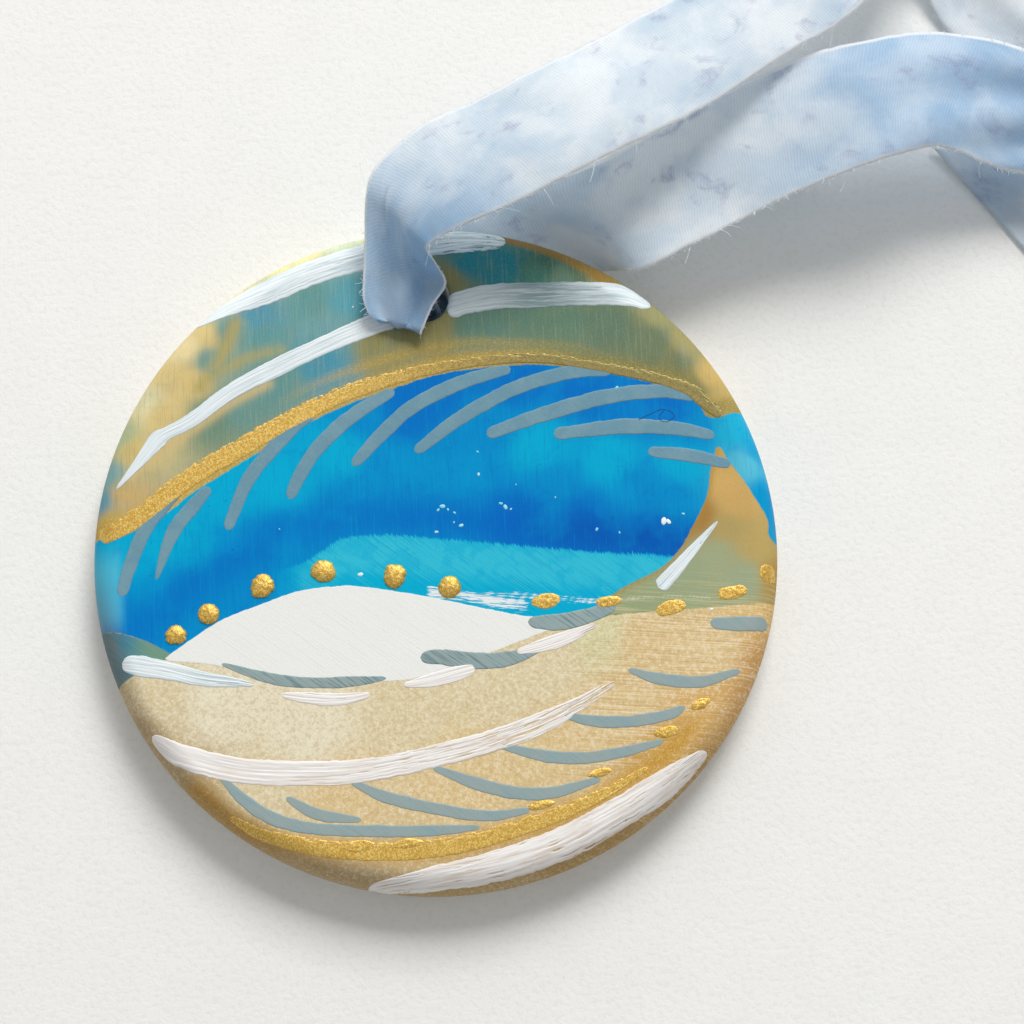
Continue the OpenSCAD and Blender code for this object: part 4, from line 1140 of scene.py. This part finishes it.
def silk_finish():
    """Thin hand-dyed silk that lets some light through: a fine slanting rib, blotches of blue and
    lavender veins where the dye gathered, deeper blue by the hole as painted shade, and a painted
    highlight along the torn edges."""
    f = silk_base("silk")
    cloth = f.add("CombineXYZ", {0: f.field("cloth_u"), 1: f.field("cloth_v")})
    slant = f.plus(f.field("cloth_u"), f.times(f.field("cloth_v"), 0.3))
    waver = f.times(f.noise(3, detail=3, place=cloth), 0.9)
    phase = f.times(f.plus(slant, waver), 2 * math.pi / RIB_PITCH)
    rib = f.math("MULTIPLY_ADD", f.math("SINE", phase), 0.5, 0.5)
    warp = f.noise((1.4, 0.11, 1), detail=2, rough=0.7, place=cloth)
    weft = f.noise((0.12, 1.2, 1), detail=2, rough=0.7, place=cloth)
    weave = f.plus(f.times(rib, 0.22), f.plus(f.times(warp, 0.42), f.times(weft, 0.42)))
    pale = f.noise(9, detail=4, rough=0.6, place=cloth, twist=0.4)
    tone = f.mix(f.step(pale, 0.38, 0.62), 0xE4EDF4, 0xF6F9FB)
    blue = f.noise((13, 8, 1), detail=3, place=cloth)
    tone = f.mix(f.step(blue, 0.52, 0.70, 0.0, 0.45), tone, 0xC0D8EA)
    # deeper blue from painted shade by the hole and from dye on the second run
    deep = f.times(f.field("hole_shade_and_dye"), f.step(pale, 0.3, 0.7, 1.0, 0.6))
    tone = f.mix(f.math("MINIMUM", deep, 0.85), tone, 0x78BAE6)
    crease = f.noise((9, 6, 1), detail=5, rough=0.6, place=cloth, twist=1.2)
    ridge = f.math("ABSOLUTE", f.math("SUBTRACT", crease, 0.5))
    vein = f.step(ridge, 0.0, 0.016, 1.0, 0.0)
    where = f.step(f.noise((7, 5, 1), detail=3, rough=0.6, place=cloth), 0.54, 0.62)
    haze = f.step(ridge, 0.0, 0.11, 1.0, 0.0)
    tone = f.layers(
        tone,
        (f.times(vein, where), 0.24, 0x8C96BE),
        (f.times(haze, where), 0.28, 0xACB2D0))
    tone = f.mix(f.step(weave, 0.36, 0.58, 0.14, 0.0), tone, 0x8CA8C6)
    tone = f.mix(f.step(weave, 0.52, 0.76, 0.0, 0.22), tone, 0xF4F8FB)
    # painted highlight: both torn edges are made nearly white, as an edge that catches the light
    edge_highlight = f.step(f.math("ABSOLUTE", f.field("cloth_v")), 6.95, 7.3, 0.0, 0.95)
    tone = f.mix(edge_highlight, tone, 0xFAFBFC)
    normal = f.bump(weave, 0.045, 0.7)
    normal = f.bump(f.noise(1.6, detail=3, place=cloth), 0.10, 0.3, normal)
    glow = f.add("BsdfTranslucent", {"Color": tone, "Normal": normal})
    f.put(f.surface, f.add("MixShader", {0: SILK_GLOW, 1: f.shader.outputs[0], 2: glow}))
    return f.finish(tone, normal=normal)


def frayed_threads(grid, facing, seed, every=0.30):
    """Short broken threads along both torn edges, and a few long loose ones."""
    draw = np.random.default_rng(seed)
    parts = []
    for col, inner_col in ((0, 3), (-1, -4)):
        edge, inward, normal = grid[:, col], grid[:, inner_col], facing[:, col]
        outwards = unit(edge - inward)
        along = unit(np.gradient(edge, axis=0))
        run = length_along(edge)
        at = 0.0
        while at < run[-1]:
            at += every * draw.uniform(0.3, 2.2)
            place, out, way, up = (rows_at(at, run, field) for field in (edge, outwards, along, normal))
            lean, rise = draw.uniform(-1.3, 1.3), draw.uniform(-0.45, 0.45)
            long = draw.uniform(0.25, 0.8) if draw.random() < 0.93 else draw.uniform(1.0, 2.6)
            bend = draw.uniform(-0.9, 0.9)
            t = np.linspace(0, 1, 4 if long < 1 else 9)[:, None]
            tip = unit(out + way * lean + up * rise) * long
            path = place - out * 0.25 + tip * t + way * bend * long * 0.5 * t * t
            path = path + up * rise * 0.3 * long * np.sin(t * 3)
            path[:, 2] = np.maximum(path[:, 2], 0.08)
            width = np.linspace(1, 0.5, len(path)) * draw.uniform(0.022, 0.04)
            parts.append(tube(path, width))
    return parts


def make_ribbon():
    loop, *sheet = cloth_piece("silk_loop", LOOP_RINGS, LOOP_FOLDS, 21, "ribbon_loop")
    short, *short_sheet = cloth_piece("silk_tail_short", SHORT_TAIL_RINGS, TAIL_FOLDS, 31,
                                      "ribbon_tail_short")
    long, *long_sheet = cloth_piece("silk_tail_long", LONG_TAIL_RINGS, TAIL_FOLDS, 41,
                                    "ribbon_tail_long")
    knot = make_knot()
    threads = []
    for seed, (grid, facing) in enumerate((sheet, short_sheet, long_sheet)):
        threads += frayed_threads(grid, facing, 5 + seed)
    fray = mesh_piece("silk_threads", joined(threads), "ribbon", thread_finish())


def knot_shell(x, radius, angle):
    """A closed hollow shell round the knot's axis: x along it, at a radius and an angle."""
    x = x + 0 * angle
    ring = (KNOT_AT + x[..., None] * KNOT_DIR + (radius * np.cos(angle))[..., None] * KNOT_SIDE
            + (radius * np.sin(angle))[..., None] * UP)
    ring[..., 2] = np.maximum(ring[..., 2], 0.12)
    inner = KNOT_AT + (ring - KNOT_AT) * 0.55
    around = np.concatenate([ring, inner[::-1]], 0).transpose(1, 0, 2) + HOLE_AT
    u = np.concatenate([angle + 0 * x] * 2, 0).T * 3.2
    v = np.concatenate([x, x[::-1]], 0).T * 1.8
    return (around.reshape(-1, 3), loft(*around.shape[:2], True, True),
            {"cloth_u": u.ravel(), "cloth_v": v.ravel(), "hole_shade_and_dye": np.full(u.size, 0.4)})


def make_knot():
    """An overhand knot drawn tight: a pleated core with one flat turn wound round it."""
    a = full_turn(96)[None, :]
    s = np.linspace(-1, 1, 40)[:, None]
    core = 2.55 + 0.75 * (1 - s ** 2) + 0.16 * np.sin(7 * a + 3.0 * s)
    core = core + 0.10 * grain(a * 3 + 0 * s, s * 2, 1, 5)
    band = np.linspace(-1, 1, 30)[:, None]
    swell = np.sqrt(1 - band ** 2)
    girth = 2.45 + 1.05 * swell ** 0.7 + 0.14 * np.sin(9 * band + 0.6 * np.sin(2 * a)) * swell
    girth = girth + 0.08 * grain(a * 4, band * 3, 1, 9)
    shells = [knot_shell(s * 3.7, core, a),
              knot_shell(band * 2.1 + 0.45 * np.sin(a + 0.6), girth, a)]
    obj = mesh_piece("silk_knot", joined(shells), "ribbon", SILK)
    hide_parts("ribbon_knot")
    return obj


SILK = silk_finish()
make_ribbon()
make_disc()
make_coat()
make_strokes()
make_dots()
